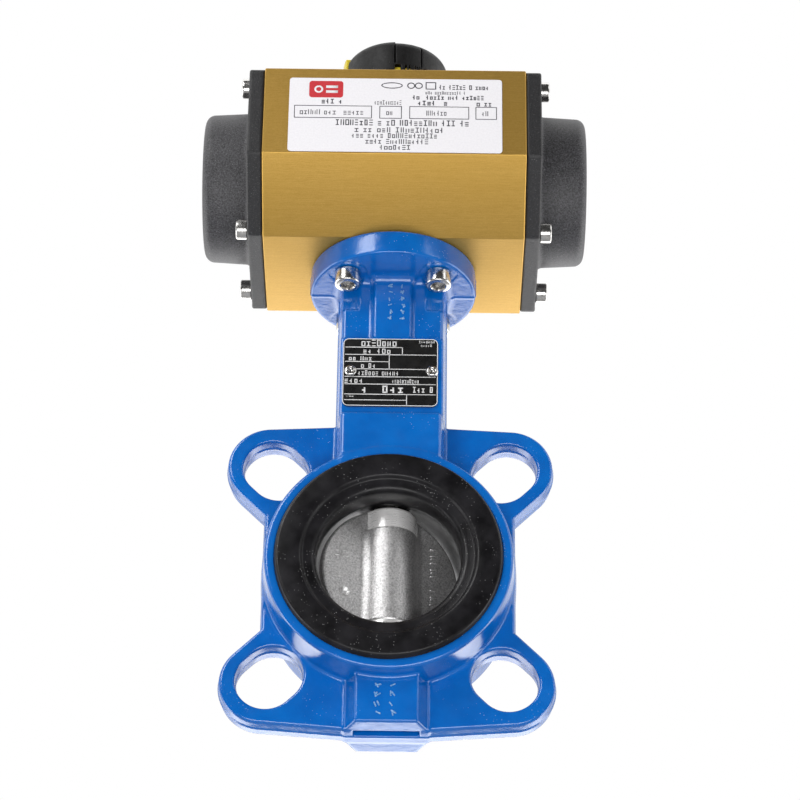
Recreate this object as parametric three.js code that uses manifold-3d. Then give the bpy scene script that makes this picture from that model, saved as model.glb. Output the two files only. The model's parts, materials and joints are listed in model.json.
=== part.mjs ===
// Quarter-turn rack-and-pinion pneumatic actuator on a wafer butterfly valve.
// Millimetres, +Z up along the valve stem, pipe axis along Y, actuator bore along X.
// The origin is the centre of the valve bore.
import * as THREE from 'three';
import Module from 'manifold-3d';
import { mergeVertices } from 'three/addons/utils/BufferGeometryUtils.js';

const wasm = await Module();
wasm.setup();

// ---------------------------------------------------------------- valve sizes
const BODY_HALF = 20; // half face-to-face length of the ring casting
const RING_R = 46.1; // outer radius at the ring faces
const RING_MID_R = 47.2; // outer radius at the parting plane
const POCKET_R = 42.4; // face pocket around the liner lip
const LINER_SEAT_R = 37.5; // casting bore behind the liner
const LINER_R = 40.5; // outer radius of the liner lip
const LINER_FACE = 22.2; // half length over the liner lips
const BORE_R = 26.9; // waterway radius
const SEAT_BALL_R = 28.75; // round seat that the disc edge sweeps
const LUG_HALF = 5.5; // half thickness of the lug plate
const LUG_C = 45.4; // lug eye centre, along X and Z
const LUG_R = 16.6; // lug eye outer radius
const WEB_X = 47.2; // side of the web between an upper and a lower lug
const UPPER_ROOT = [17, 63.4]; // where the top edge of an upper lug meets the neck
const LOWER_ROOT = [15.2, 64.3]; // where the bottom edge of a lower lug meets the boss
const SLOT_R = 11.1; // lug slot half width
const SLOT_IN = 59.4; // slot inner centre, distance from the bore axis
const SLOT_OUT = 63.1; // slot outer centre
const BOSS_BOTTOM = -64.4; // underside of the lower stem boss
const NECK_FRONT_HALF = 19.6; // neck half width at its faces
const NECK_MID_HALF = 21.1; // neck half width at the parting plane
const NECK_FACE = 12; // neck face distance from the stem axis
const PAD_FACE = 15.4; // nameplate pad distance from the stem axis
const STEM_BORE_R = 9.5;
const STEM_R = 7;
const LOWER_STEM_R = 6;
const DISC_R = 28.4;
const HUB_R = 10.5;
const DISC_REST = 22 * Math.PI / 180; // disc angle away from closed
const DIAL_REST = 11; // indicator clocking on the shaft, degrees
const FLANGE_R = 32.5; // ISO 5211 F05 flange
const FLANGE_LOW = 125.4;
const FLANGE_TOP = 135.4;
const BOLT_XY = 25 * Math.SQRT1_2; // F05 bolt circle 50 mm, on the diagonals
const REGISTER_R = 17.5;

// ------------------------------------------------------------- actuator sizes
const ACT_Z = 175.9; // bore axis height
const ACT_HALF_LEN = 51; // half length of the extruded body
const ACT_HALF_W = 55;
const ACT_HALF_H = 40.4;
const FLAT_TOP_W = 27.2; // half width of the top and bottom flats
const FLAT_SIDE_H = 19.9; // half height of the side flats
const ACT_BORE_R = 33;
const CAP_PLATE = 6.1; // end cap plate thickness
const CAP_CUP = 19.2; // cup length beyond the plate
const CUP_R = 29.7;
const CAP_SCREW_Y = 21.9;
const CAP_SCREW_Z = 33.9;
const MODULE = 1.25; // gear module
const TEETH = 16;
const PITCH_R = MODULE * TEETH / 2;
const ARM_HALF_H = 8; // half height of the rack arms
const HEAD_IN = 23.84; // piston head inner face at the resting angle
const HEAD_THICK = 10;
const FIT = 0.1; // gap between faces that seat on each other
const RUN = 0.3; // gap between fitted pieces

const LOW_FACE = ACT_Z - ACT_HALF_H;
const TOP_FACE = ACT_Z + ACT_HALF_H;

// ------------------------------------------------------------------ materials
const look = (color, roughness, metalness) =>
  new THREE.MeshStandardMaterial({ color, roughness, metalness });
const BLUE = look('#0a5ab4', 0.25, 0.1);
const GOLD = look('#b08a3c', 0.4, 0.85);
const CAP_BLACK = look('#3a3a3e', 0.55, 0.2);
const RUBBER = look('#1d1c20', 0.7, 0);
const CAST_STEEL = look('#a8a7a2', 0.4, 0.9);
const STEEL = look('#c4c2bd', 0.3, 0.95);
const ALLOY = look('#b9bbbd', 0.4, 0.85);
const POLYMER = look('#e6e2d6', 0.5, 0);
const YELLOW = look('#e8cf2a', 0.45, 0);
const BLACK_PLASTIC = look('#262627', 0.5, 0);
const LABEL_WHITE = look('#e9e7ee', 0.5, 0);
const PLATE_BLACK = look('#121212', 0.4, 0.5);

// -------------------------------------------------------------- solid helpers
const solid = (geometry) => {
  geometry.deleteAttribute('normal');
  geometry.deleteAttribute('uv');
  const merged = mergeVertices(geometry, 1e-4);
  return new wasm.Manifold(new wasm.Mesh({
    numProp: 3,
    vertProperties: new Float32Array(merged.attributes.position.array),
    triVerts: new Uint32Array(merged.index.array),
  }));
};

const piece = (name, body, material) => {
  const mesh = body.getMesh();
  const geometry = new THREE.BufferGeometry();
  geometry.setAttribute('position', new THREE.BufferAttribute(mesh.vertProperties, 3));
  geometry.setIndex(new THREE.BufferAttribute(mesh.triVerts, 1));
  const made = new THREE.Mesh(geometry, material);
  made.name = name;
  return made;
};

// A ring or bar turned about Z from [radius, height] pairs.
const turned = (profile, segments = 24) => {
  const points = profile.map(([r, z]) => new THREE.Vector2(r, z));
  return new THREE.LatheGeometry(points, segments).rotateX(Math.PI / 2);
};
// LatheGeometry turns about Y with the profile going up; this makes closed, outward solids.
const closedRing = (profile, segments) => solid(turned([...profile, profile[0]], segments));
const closedBar = (profile, segments) => solid(turned(profile, segments));

const rod = (r, z0, z1, segments = 24) =>
  closedBar([[0, z0], [r, z0], [r, z1], [0, z1]], segments);
const sleeve = (inner, outer, z0, z1, segments = 24) =>
  closedRing([[inner, z0], [outer, z0], [outer, z1], [inner, z1]], segments);

// Turns a Z-axis solid onto another axis.
const alongY = (body) => body.rotate([-90, 0, 0]);
const alongX = (body) => body.rotate([0, 90, 0]);

const box = (x0, x1, y0, y1, z0, z1) => {
  const geometry = new THREE.BoxGeometry(x1 - x0, y1 - y0, z1 - z0);
  return solid(geometry.translate((x0 + x1) / 2, (y0 + y1) / 2, (z0 + z1) / 2));
};

const outline = (points) => {
  const shape = new THREE.Shape(points.map(([x, y]) => new THREE.Vector2(x, y)));
  return shape;
};
// Prism of an [x, y] outline between two heights.
const prismZ = (points, z0, z1) => {
  const geometry = new THREE.ExtrudeGeometry(outline(points), { depth: z1 - z0, bevelEnabled: false });
  return solid(geometry.translate(0, 0, z0));
};
// Prism of an [x, z] outline between two Y values.
const prismY = (points, y0, y1) => {
  const flipped = points.map(([x, z]) => [x, -z]).reverse();
  return prismZ(flipped, y0, y1).rotate([-90, 0, 0]);
};
// Prism of a [y, z] outline between two X values.
const prismX = (points, x0, x1) => prismZ(points, x0, x1).rotate([90, 0, 0]).rotate([0, 0, 90]);

const arc = (cx, cy, r, from, to, steps) => {
  const points = [];
  for (let i = 0; i <= steps; i += 1) {
    const a = from + (to - from) * i / steps;
    points.push([cx + r * Math.cos(a), cy + r * Math.sin(a)]);
  }
  return points;
};

const joined = (parts) => parts.slice(1).reduce((sum, part) => sum.add(part), parts[0]);
const cutBy = (body, tools) => body.subtract(joined(tools));

const corners = [[1, 1], [-1, 1], [-1, -1], [1, -1]];

// An O-ring about Z.
const oRing = (inner, outer, z, segments = 18) => {
  const tube = (outer - inner) / 2;
  return closedRing(arc((inner + outer) / 2, z, tube, Math.PI / 4, Math.PI * 1.75, 3), segments);
};

// ---------------------------------------------------------------- valve body
// Lug plate outline: four eyes joined by straight webs beside the ring.
const lugPlate = () => {
  const side = LUG_R * Math.SQRT1_2;
  const quarter = arc(LUG_C, LUG_C, LUG_R, -Math.PI / 4, Math.PI / 2, 7);
  const flank = [WEB_X, WEB_X - side * 2];
  const upper = [flank, ...quarter, UPPER_ROOT];
  const lower = [flank, ...quarter, LOWER_ROOT].map(([x, z]) => [x, -z]).reverse();
  const right = [...lower, ...upper];
  const left = right.map(([x, z]) => [-x, z]).reverse();
  return prismY([...right, ...left], -LUG_HALF, LUG_HALF);
};

const lugSlot = (sx, sz) => {
  const a = Math.atan2(sz, sx);
  const inner = [SLOT_IN * Math.cos(a), SLOT_IN * Math.sin(a)];
  const outer = [SLOT_OUT * Math.cos(a), SLOT_OUT * Math.sin(a)];
  const points = [
    ...arc(outer[0], outer[1], SLOT_R, a - Math.PI / 2, a + Math.PI / 2, 7),
    ...arc(inner[0], inner[1], SLOT_R, a + Math.PI / 2, a + Math.PI * 1.5, 7),
  ];
  return prismY(points, -LUG_HALF - 1, LUG_HALF + 1);
};

const ringOuter = () => alongY(closedBar([
  [0, -BODY_HALF], [RING_R - 1.2, -BODY_HALF], [RING_R, -BODY_HALF + 1.2],
  [RING_MID_R, 0], [RING_R, BODY_HALF - 1.2], [RING_R - 1.2, BODY_HALF], [0, BODY_HALF],
], 48));

const ringBore = () => alongY(closedBar([
  [0, -BODY_HALF - 1], [POCKET_R, -BODY_HALF - 1], [POCKET_R, -17.4], [LINER_SEAT_R, -17.4],
  [LINER_SEAT_R, 17.4], [POCKET_R, 17.4], [POCKET_R, BODY_HALF + 1], [0, BODY_HALF + 1],
], 48));

const neckSection = (face, frontHalf, midHalf) => [
  [frontHalf, -face], [midHalf, 0], [frontHalf, face],
  [-frontHalf, face], [-midHalf, 0], [-frontHalf, -face],
];

const boltReliefs = () => corners.map(([sx, sy]) =>
  rod(7.2, 117, FLANGE_LOW, 16).translate(sx * BOLT_XY, sy * BOLT_XY, 0));

const neckCasting = () => {
  const shaft = prismZ(neckSection(NECK_FACE, NECK_FRONT_HALF, NECK_MID_HALF), 38, FLANGE_LOW + 1);
  const root = prismZ(neckSection(19.4, 18.9, NECK_MID_HALF), 38, 61.8);
  const pad = box(-19.7, 19.7, -PAD_FACE, PAD_FACE, 60, 97);
  const rib = box(-7.4, 7.4, -14.4, 14.4, 90, FLANGE_LOW + 1);
  const flare = prismX([
    [-17.5, FLANGE_LOW + 0.5], [-14.4, 119], [-NECK_FACE, 114],
    [NECK_FACE, 114], [14.4, 119], [17.5, FLANGE_LOW + 0.5],
  ], -NECK_FRONT_HALF, NECK_FRONT_HALF);
  return cutBy(joined([shaft, root, pad, rib, flare]), boltReliefs());
};

const bossCasting = () => {
  const core = prismX([
    [-13.8, -40], [-13.8, BOSS_BOTTOM], [13.8, BOSS_BOTTOM], [13.8, -40],
  ], -11.4, 11.4);
  const skirt = prismZ([
    [11.4, -13.8], [15.2, -LUG_HALF], [15.2, LUG_HALF], [11.4, 13.8],
    [-11.4, 13.8], [-15.2, LUG_HALF], [-15.2, -LUG_HALF], [-11.4, -13.8],
  ], BOSS_BOTTOM, -40);
  const groove = box(-12, 12, -5.2, -0.7, BOSS_BOTTOM - 1, BOSS_BOTTOM + 3.2);
  return core.add(skirt).subtract(groove);
};

const valveBody = () => {
  const flange = rod(FLANGE_R, FLANGE_LOW, FLANGE_TOP, 48);
  const casting = joined([ringOuter(), lugPlate(), neckCasting(), bossCasting(), flange]);
  const holes = corners.map(([sx, sy]) =>
    rod(3.4, FLANGE_LOW - 1, FLANGE_TOP + 1, 12).translate(sx * BOLT_XY, sy * BOLT_XY, 0));
  const rivets = [-15.7, 15.5].map((x) =>
    alongY(rod(1.3, -PAD_FACE - 1, -PAD_FACE + 5, 10)).translate(x, 0, 81.3));
  const slots = corners.map(([sx, sz]) => lugSlot(sx, sz));
  return cutBy(casting, [
    ringBore(),
    ...slots,
    ...holes,
    ...rivets,
    rod(STEM_BORE_R, 30, FLANGE_TOP + 1, 24),
    rod(REGISTER_R + RUN, FLANGE_TOP - 3.2, FLANGE_TOP + 1, 36),
    rod(LOWER_STEM_R + RUN, -57, -30, 20),
  ]);
};

// ------------------------------------------------------- liner, disc and stems
const seatLiner = () => {
  const seatEnd = Math.acos(BORE_R / SEAT_BALL_R);
  const half = [
    ...arc(0, 0, SEAT_BALL_R, 0, seatEnd, 4), [BORE_R, 18.6], [28.6, 20.4], [31.9, 20.7],
    [33.5, LINER_FACE], [LINER_R - 0.6, LINER_FACE], [LINER_R, LINER_FACE - 0.6],
    [LINER_R + 0.5, 19.6], [POCKET_R - RUN, 19], [POCKET_R - RUN, 17.7],
    [LINER_SEAT_R - RUN, 17.7], [LINER_SEAT_R - RUN, 0],
  ];
  const lower = half.slice(1, -1).map(([r, y]) => [r, -y]).reverse();
  const tube = alongY(closedRing([...half, ...lower].reverse(), 40));
  return cutBy(tube, [rod(STEM_R + RUN, 20, 45, 24), rod(LOWER_STEM_R + RUN, -45, -20, 20)]);
};

const valveDisc = () => {
  const plate = alongY(closedBar([
    [0, -3.2], [20, -2.6], [DISC_R - 0.7, -1.9], [DISC_R, -1.1],
    [DISC_R, 1.1], [DISC_R - 0.7, 1.9], [20, 2.6], [0, 3.2],
  ], 36));
  const ball = closedBar(arc(0, 0, DISC_R, -Math.PI / 2, Math.PI / 2, 14)
    .map(([r, z]) => [Math.max(r, 0), z]), 24);
  const hub = rod(HUB_R, -28, 28, 28).intersect(ball);
  const square = box(-4.9, 4.9, -4.9, 4.9, 7.5, 30).intersect(rod(6.7, 7, 30, 24));
  return cutBy(plate.add(hub), [
    square,
    rod(STEM_R + RUN, 22.4, 30, 24),
    rod(LOWER_STEM_R + RUN, -30, -9, 24),
    alongY(rod(2.1, -4, -1.6, 14)).translate(-18.6, 0, -9.6),
  ]).rotate([0, 0, DISC_REST * 180 / Math.PI]);
};

const upperStem = () => {
  const shaft = rod(STEM_R, 22.8, 151, 28);
  const driveCut = box(-5.5, 5.5, -5.5, 5.5, 135.5, 152);
  const drive = rod(STEM_R, 135.5, 151, 28).intersect(driveCut);
  const tang = box(-4.6, 4.6, -4.6, 4.6, 8, 23).intersect(rod(6.4, 8, 23, 24));
  return joined([shaft.subtract(rod(9, 135.5, 152, 12)), drive, tang])
    .rotate([0, 0, DISC_REST * 180 / Math.PI]);
};

const lowerStem = () => closedBar([
  [0, -56], [LOWER_STEM_R - 0.8, -56], [LOWER_STEM_R, -55.2], [LOWER_STEM_R, -10.3],
  [LOWER_STEM_R - 0.8, -9.5], [0, -9.5],
], 24);

const stemBush = (z0, z1) => sleeve(STEM_R + RUN, STEM_BORE_R - RUN, z0, z1, 24);

// ------------------------------------------------------------- plates, screws
const roundedPlate = (x0, x1, z0, z1, r) => [
  ...arc(x1 - r, z1 - r, r, 0, Math.PI / 2, 4),
  ...arc(x0 + r, z1 - r, r, Math.PI / 2, Math.PI, 4),
  ...arc(x0 + r, z0 + r, r, Math.PI, Math.PI * 1.5, 4),
  ...arc(x1 - r, z0 + r, r, Math.PI * 1.5, Math.PI * 2, 4),
];

const namePlate = () => {
  const plate = prismY(roundedPlate(-18.7, 17.7, 66, 96, 2.2), -PAD_FACE - 0.9, -PAD_FACE - FIT);
  return cutBy(plate, [-15.7, 15.5].map((x) =>
    alongY(rod(1.3, -PAD_FACE - 3, -PAD_FACE + 3, 10)).translate(x, 0, 81.3)));
};

// A rivet along Y with its domed head at negative Y.
const plateRivet = (x) => alongY(closedBar([
  [0, -PAD_FACE - 2], [1.3, -PAD_FACE - 1.9], [2.3, -PAD_FACE - 1.3], [2.4, -PAD_FACE - 1],
  [1, -PAD_FACE - 1], [1, -PAD_FACE + 3.6], [0, -PAD_FACE + 3.6],
], 12)).translate(x, 0, 81.3);

const labelPlate = () =>
  prismY(roundedPlate(-41.2, 41.6, 156.4, 191.2, 1.2), -ACT_HALF_W - 0.4, -ACT_HALF_W - FIT);

// Socket head cap screw along Z: head underside at 0, head below, shank above.
const capScrew = (r, headR, headH, length, socket) => {
  const body = closedBar([
    [0, -headH], [headR - 0.5, -headH], [headR, -headH + 0.5], [headR, 0],
    [r, 0], [r, length], [0, length],
  ], 14);
  const hex = prismZ(arc(0, 0, socket, 0, Math.PI * 5 / 3, 5), -headH - 1, -headH / 2);
  return body.subtract(hex);
};

const flangeScrew = ([sx, sy]) => capScrew(2.95, 5, 6, 19, 2.9)
  .translate(sx * BOLT_XY, sy * BOLT_XY, FLANGE_LOW - FIT);

// ------------------------------------------------------------- actuator body
const octagon = (inset) => {
  const w = ACT_HALF_W - inset;
  const h = ACT_HALF_H - inset;
  const t = FLAT_TOP_W - inset * 0.3;
  const s = FLAT_SIDE_H - inset * 0.5;
  return [
    [w, ACT_Z - s], [w, ACT_Z + s], [t, ACT_Z + h], [-t, ACT_Z + h],
    [-w, ACT_Z + s], [-w, ACT_Z - s], [-t, ACT_Z - h], [t, ACT_Z - h],
  ];
};

const boreRod = (r, x0, x1, segments = 48) => alongX(rod(r, x0, x1, segments)).translate(0, 0, ACT_Z);

const endScrewHoles = (r, depth) => corners.flatMap(([sy, sz]) => [-1, 1].map((sx) => {
  const ends = [sx * (ACT_HALF_LEN - depth), sx * (ACT_HALF_LEN + 30)].sort((a, b) => a - b);
  const hole = alongX(rod(r, ends[0], ends[1], 10));
  return hole.translate(0, sy * CAP_SCREW_Y, ACT_Z + sz * CAP_SCREW_Z);
}));

// Air interface on the rear face: two ports on 24 mm, four threads on 32 x 24 mm.
const airInterface = () => {
  const port = (x, y0) => alongY(rod(4.3, y0, ACT_HALF_W + 1, 16)).translate(x, 0, ACT_Z);
  const threads = corners.map(([sx, sz]) =>
    alongY(rod(2.1, ACT_HALF_W - 8, ACT_HALF_W + 1, 10)).translate(sx * 16, 0, ACT_Z + sz * 12));
  const gallery = alongX(rod(2.5, -ACT_HALF_LEN - 1, ACT_HALF_LEN + 1, 12));
  return [port(-12, 38), port(12, 38), gallery.translate(0, 43, ACT_Z),
    alongY(rod(2.5, 28, 40, 12)).translate(-12, 0, ACT_Z), ...threads];
};

// Top accessory pattern 80 x 30 mm.
const topThreads = () => corners.map(([sx, sy]) =>
  rod(2.1, TOP_FACE - 5, TOP_FACE + 1, 10).translate(sx * 40, sy * 15, 0));

const actuatorBody = () => {
  const shell = prismX(octagon(0), -ACT_HALF_LEN, ACT_HALF_LEN);
  const register = rod(REGISTER_R, FLANGE_TOP - 2.9, LOW_FACE + 1, 36);
  const threads = corners.map(([sx, sy]) =>
    rod(3.3, FLANGE_TOP - 1, LOW_FACE + 9.6, 12).translate(sx * BOLT_XY, sy * BOLT_XY, 0));
  return cutBy(shell.add(register), [
    boreRod(ACT_BORE_R, -ACT_HALF_LEN - 1, ACT_HALF_LEN + 1, 48),
    rod(14.5, FLANGE_TOP - 5, ACT_Z, 24),
    rod(12, ACT_Z, TOP_FACE + 1, 24),
    ...threads,
    ...endScrewHoles(2.8, 14),
    ...topThreads(),
    ...airInterface(),
  ]);
};

// ------------------------------------------------------------------ end caps
const capTurning = () => closedBar([
  [0, -3.4], [32.5, -3.4], [32.5, 2], [CUP_R + 1.5, CAP_PLATE - 1], [CUP_R + 0.4, CAP_PLATE + 3],
  [CUP_R - 0.5, CAP_PLATE + CAP_CUP - 4.6], [CUP_R - 1.5, CAP_PLATE + CAP_CUP - 2],
  [CUP_R - 4.3, CAP_PLATE + CAP_CUP - 0.7], [0, CAP_PLATE + CAP_CUP],
], 36);

const capCavity = () => closedBar([
  [0, -4], [27.5, -4], [25.5, CAP_PLATE + CAP_CUP - 7], [22, CAP_PLATE + CAP_CUP - 4],
  [0, CAP_PLATE + CAP_CUP - 4],
], 28);

// One cap, made for the +X end; the other end is the same cap turned half round the Z axis.
const endCap = (side) => {
  const plate = prismX(octagon(0.7), FIT, CAP_PLATE);
  const place = (body) => alongX(body).translate(0, 0, ACT_Z);
  const slot = box(-3.4, 2.4, 29, 45.6, ACT_Z - 2.5, ACT_Z + 2.5);
  const body = cutBy(plate.add(place(capTurning())), [
    place(capCavity()),
    place(sleeve(30.6, 34, -2.9, -0.7, 36)),
    slot,
    ...corners.map(([sy, sz]) =>
      alongX(rod(2.8, -5, 12, 10)).translate(0, sy * CAP_SCREW_Y, ACT_Z + sz * CAP_SCREW_Z)),
  ]);
  const placed = body.translate(ACT_HALF_LEN, 0, 0);
  return side > 0 ? placed : placed.mirror([1, 0, 0]);
};

const endCapScrew = (side, [sy, sz]) => {
  const screw = alongX(capScrew(2.4, 4, 4.6, 16, 2.3).rotate([180, 0, 0]));
  const x = ACT_HALF_LEN + CAP_PLATE + FIT;
  const placed = screw.translate(x, sy * CAP_SCREW_Y, ACT_Z + sz * CAP_SCREW_Z);
  return side > 0 ? placed : placed.mirror([1, 0, 0]);
};

const capSeal = (side) => alongX(oRing(30.9, 32.7, 0, 28)).translate(side * 49.2, 0, ACT_Z);

// ------------------------------------------------------------------- pistons
const rackTeeth = (x0, x1) => {
  const pitch = Math.PI * MODULE;
  const slope = Math.tan(20 * Math.PI / 180);
  const tipY = PITCH_R - 1.05;
  const rootY = PITCH_R + 1.5;
  const half = pitch / 4 - 0.09;
  const points = [[x0, PITCH_R + 14], [x0, rootY]];
  for (let c = (Math.ceil(x0 / pitch) + 0.5) * pitch; c + half + 1 < x1; c += pitch) {
    points.push([c - half - 1.5 * slope, rootY], [c - half + 1.05 * slope, tipY]);
    points.push([c + half - 1.05 * slope, tipY], [c + half + 1.5 * slope, rootY]);
  }
  points.push([x1, rootY], [x1, PITCH_R + 14]);
  return points.map(([x, y]) => [x, -y]);
};

// The +X piston carries its rack on the negative Y side of the pinion.
const piston = (side) => {
  const headEnd = HEAD_IN + HEAD_THICK;
  const head = alongX(closedBar([
    [0, HEAD_IN], [32.6, HEAD_IN], [32.6, HEAD_IN + 1.5], [31, HEAD_IN + 1.5],
    [31, HEAD_IN + 4.1], [32.6, HEAD_IN + 4.1], [32.6, HEAD_IN + 5.9], [30.5, HEAD_IN + 5.9],
    [30.5, HEAD_IN + 8.3], [32.6, HEAD_IN + 8.3], [32.6, headEnd], [0, headEnd],
  ], 32));
  const recess = alongX(rod(19, headEnd - 4, headEnd + 1, 24));
  const arm = prismZ(rackTeeth(-15.6, HEAD_IN + 1), -ARM_HALF_H, ARM_HALF_H);
  const body = head.subtract(recess).add(arm).translate(0, 0, ACT_Z);
  return side > 0 ? body : body.rotate([0, 0, 180]);
};

const pistonSeal = (side) =>
  alongX(oRing(30.7, 32.6, HEAD_IN + 7.1, 28)).translate(0, 0, ACT_Z).rotate([0, 0, side > 0 ? 0 : 180]);

const pistonGuide = (side) =>
  alongX(sleeve(31.3, 32.7, HEAD_IN + 1.7, HEAD_IN + 3.9, 28)).translate(0, 0, ACT_Z)
    .rotate([0, 0, side > 0 ? 0 : 180]);

// Slipper behind the rack arm, bearing on the cylinder wall.
const rackPad = (side) => {
  const rim = arc(0, ACT_Z, 32.7, Math.PI + 0.21, Math.PI - 0.21, 6);
  const pad = prismX([...rim, [-PITCH_R - 14.2, ACT_Z + 6.8], [-PITCH_R - 14.2, ACT_Z - 6.8]].reverse(),
    -12, 16);
  return pad.rotate([0, 0, side > 0 ? 0 : 180]);
};

// -------------------------------------------------------------------- pinion
const involutePoint = (baseR, r, flank) => {
  const roll = Math.sqrt(Math.max((r / baseR) ** 2 - 1, 0));
  return flank - (roll - Math.atan(roll));
};

const gearOutline = () => {
  const baseR = PITCH_R * Math.cos(20 * Math.PI / 180);
  const tipR = PITCH_R + MODULE - 0.1;
  const rootR = PITCH_R - 1.45;
  const roll = Math.tan(20 * Math.PI / 180) - 20 * Math.PI / 180;
  const half = Math.PI / (2 * TEETH) - 0.009 + roll;
  const points = [];
  for (let i = 0; i < TEETH; i += 1) {
    const mid = -Math.PI / 2 + i * 2 * Math.PI / TEETH;
    const radii = [baseR + 0.02, PITCH_R, tipR];
    const offsets = radii.map((r) => [r, involutePoint(baseR, r, half)]);
    points.push([rootR, mid - half - 0.01]);
    offsets.forEach(([r, a]) => points.push([r, mid - a]));
    offsets.slice().reverse().forEach(([r, a]) => points.push([r, mid + a]));
    points.push([rootR, mid + half + 0.01]);
  }
  return points.map(([r, a]) => [r * Math.cos(a), r * Math.sin(a)]);
};

const drivePinion = () => {
  const shaft = closedBar([
    [0, 136], [12, 136], [12, 145.5], [10.6, 146.5], [10.6, 161], [8.3, 163.3],
    [8.3, 190], [9.7, 191.5], [9.7, TOP_FACE + 1.6], [8.9, TOP_FACE + 1.6], [8.9, TOP_FACE + 3],
    [9.7, TOP_FACE + 3], [9.7, TOP_FACE + 4.4], [7, TOP_FACE + 4.4], [7, 234], [0, 234],
  ], 24);
  const gear = prismZ(gearOutline(), ACT_Z - 9.4, ACT_Z + 9.4);
  const socket = box(-5.8, 5.8, -5.8, 5.8, 135, 152.5)
    .rotate([0, 0, DISC_REST * 180 / Math.PI]);
  const flats = [box(-20, 20, 5.2, 20, TOP_FACE + 4.4, 240), box(-20, 20, -20, -5.2, TOP_FACE + 4.4, 240)]
    .map((cut) => cut.rotate([0, 0, DISC_REST * 180 / Math.PI]));
  return cutBy(shaft.add(gear), [socket, rod(2.6, 222, 236, 14), ...flats]);
};

const clipRing = (inner, outer, z0, z1) =>
  sleeve(inner, outer, z0, z1, 24).subtract(box(0, 20, -2, 2, z0 - 1, z1 + 1));

// ----------------------------------------------------------------- indicator
const indicatorBase = () => {
  const floor = rod(20.3, 221.2, 223.6, 32);
  const rim = sleeve(18.8, 21.9, 222, 236.2, 32);
  const windows = rim.intersect(box(-30, 30, -3.2, 3.2, 220, 240));
  const bore = rod(7.3, 220, 226, 24);
  return joined([floor, windows]).subtract(bore).rotate([0, 0, DIAL_REST]);
};

const indicatorCap = () => {
  const dome = closedBar([
    [0, 221], [21.2, 221], [21.2, 232.4], [20.5, 234.6], [18.9, 236.3], [16.6, 237], [0, 237.4],
  ], 32);
  const skirt = rod(20.6, 220, 224, 32);
  const inside = rod(18.4, 223, 232, 24).subtract(rod(10.4, 220, 233, 20));
  const windows = box(-30, 30, -3.6, 3.6, 220, 236.6).subtract(rod(18.5, 219, 240, 24));
  const shaftSlot = box(-7.3, 7.3, -5.5, 5.5, 223, 234.4).intersect(rod(7.3, 222, 235, 24))
    .rotate([0, 0, DISC_REST * 180 / Math.PI]);
  const screwHole = rod(3, 230, 240, 16).add(rod(5.2, 235.2, 240, 20));
  return cutBy(dome, [skirt, inside, windows.rotate([0, 0, DIAL_REST]), shaftSlot, screwHole]);
};

const indicatorScrew = () => capScrew(2.3, 4.6, 3.2, 10, 1.9).rotate([180, 0, 0])
  .translate(0, 0, 235.5);

// ------------------------------------------------------------------ assembly
const assembly = new THREE.Group();
const place = (name, body, material) => assembly.add(piece(name, body, material));

place('valve_body', valveBody(), BLUE);
place('seat_liner', seatLiner(), RUBBER);
place('valve_disc', valveDisc(), CAST_STEEL);
place('upper_stem', upperStem(), STEEL);
place('lower_stem', lowerStem(), STEEL);
place('stem_bush_lower', stemBush(50, 66), POLYMER);
place('stem_bush_upper', stemBush(110, 126), POLYMER);
place('stem_seal_lower', oRing(7.3, 9.2, 102), RUBBER);
place('stem_seal_upper', oRing(7.3, 9.2, 106), RUBBER);
place('stem_retaining_ring', clipRing(STEM_R + RUN, 9.2, 127, 128.6), STEEL);
place('name_plate', namePlate(), PLATE_BLACK);
place('name_plate_rivet_left', plateRivet(-15.7), STEEL);
place('name_plate_rivet_right', plateRivet(15.5), STEEL);
corners.forEach((corner, i) => place(`flange_screw_${i + 1}`, flangeScrew(corner), STEEL));

place('actuator_body', actuatorBody(), GOLD);
place('label_plate', labelPlate(), LABEL_WHITE);
place('end_cap_left', endCap(-1), CAP_BLACK);
place('end_cap_right', endCap(1), CAP_BLACK);
place('end_cap_seal_left', capSeal(-1), RUBBER);
place('end_cap_seal_right', capSeal(1), RUBBER);
corners.forEach((corner, i) => {
  place(`end_cap_screw_left_${i + 1}`, endCapScrew(-1, corner), STEEL);
  place(`end_cap_screw_right_${i + 1}`, endCapScrew(1, corner), STEEL);
});

place('piston_left', piston(-1), ALLOY);
place('piston_right', piston(1), ALLOY);
place('piston_seal_left', pistonSeal(-1), RUBBER);
place('piston_seal_right', pistonSeal(1), RUBBER);
place('piston_guide_ring_left', pistonGuide(-1), POLYMER);
place('piston_guide_ring_right', pistonGuide(1), POLYMER);
place('rack_guide_pad_left', rackPad(-1), POLYMER);
place('rack_guide_pad_right', rackPad(1), POLYMER);

place('drive_pinion', drivePinion(), STEEL);
place('pinion_bush_lower', sleeve(12.3, 14.2, 136.3, 139.6), POLYMER);
place('pinion_seal_lower', oRing(12.3, 14.2, 141), RUBBER);
place('pinion_bush_upper', sleeve(10, 11.7, 209.4, 212.4), POLYMER);
place('pinion_seal_upper', oRing(10, 11.7, 213.8), RUBBER);
place('pinion_thrust_washer', sleeve(10, 16.5, TOP_FACE + FIT, TOP_FACE + 1.5), POLYMER);
place('pinion_snap_ring', clipRing(9.2, 13.5, TOP_FACE + 1.7, TOP_FACE + 2.9), STEEL);
place('indicator_base', indicatorBase(), YELLOW);
place('indicator_cap', indicatorCap(), BLACK_PLASTIC);
place('indicator_screw', indicatorScrew(), STEEL);

export default assembly;
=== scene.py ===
"""Looks for a quarter-turn rack-and-pinion actuator bolted on a wafer butterfly valve.

Castings are made as distance fields and lifted to quad meshes, turned and extruded pieces as lofted rings.
Sizes in the helpers are millimetres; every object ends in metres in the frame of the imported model.
"""
import json
import math
import random

import bpy
import numpy as np
from mathutils import Matrix, Vector

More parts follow.
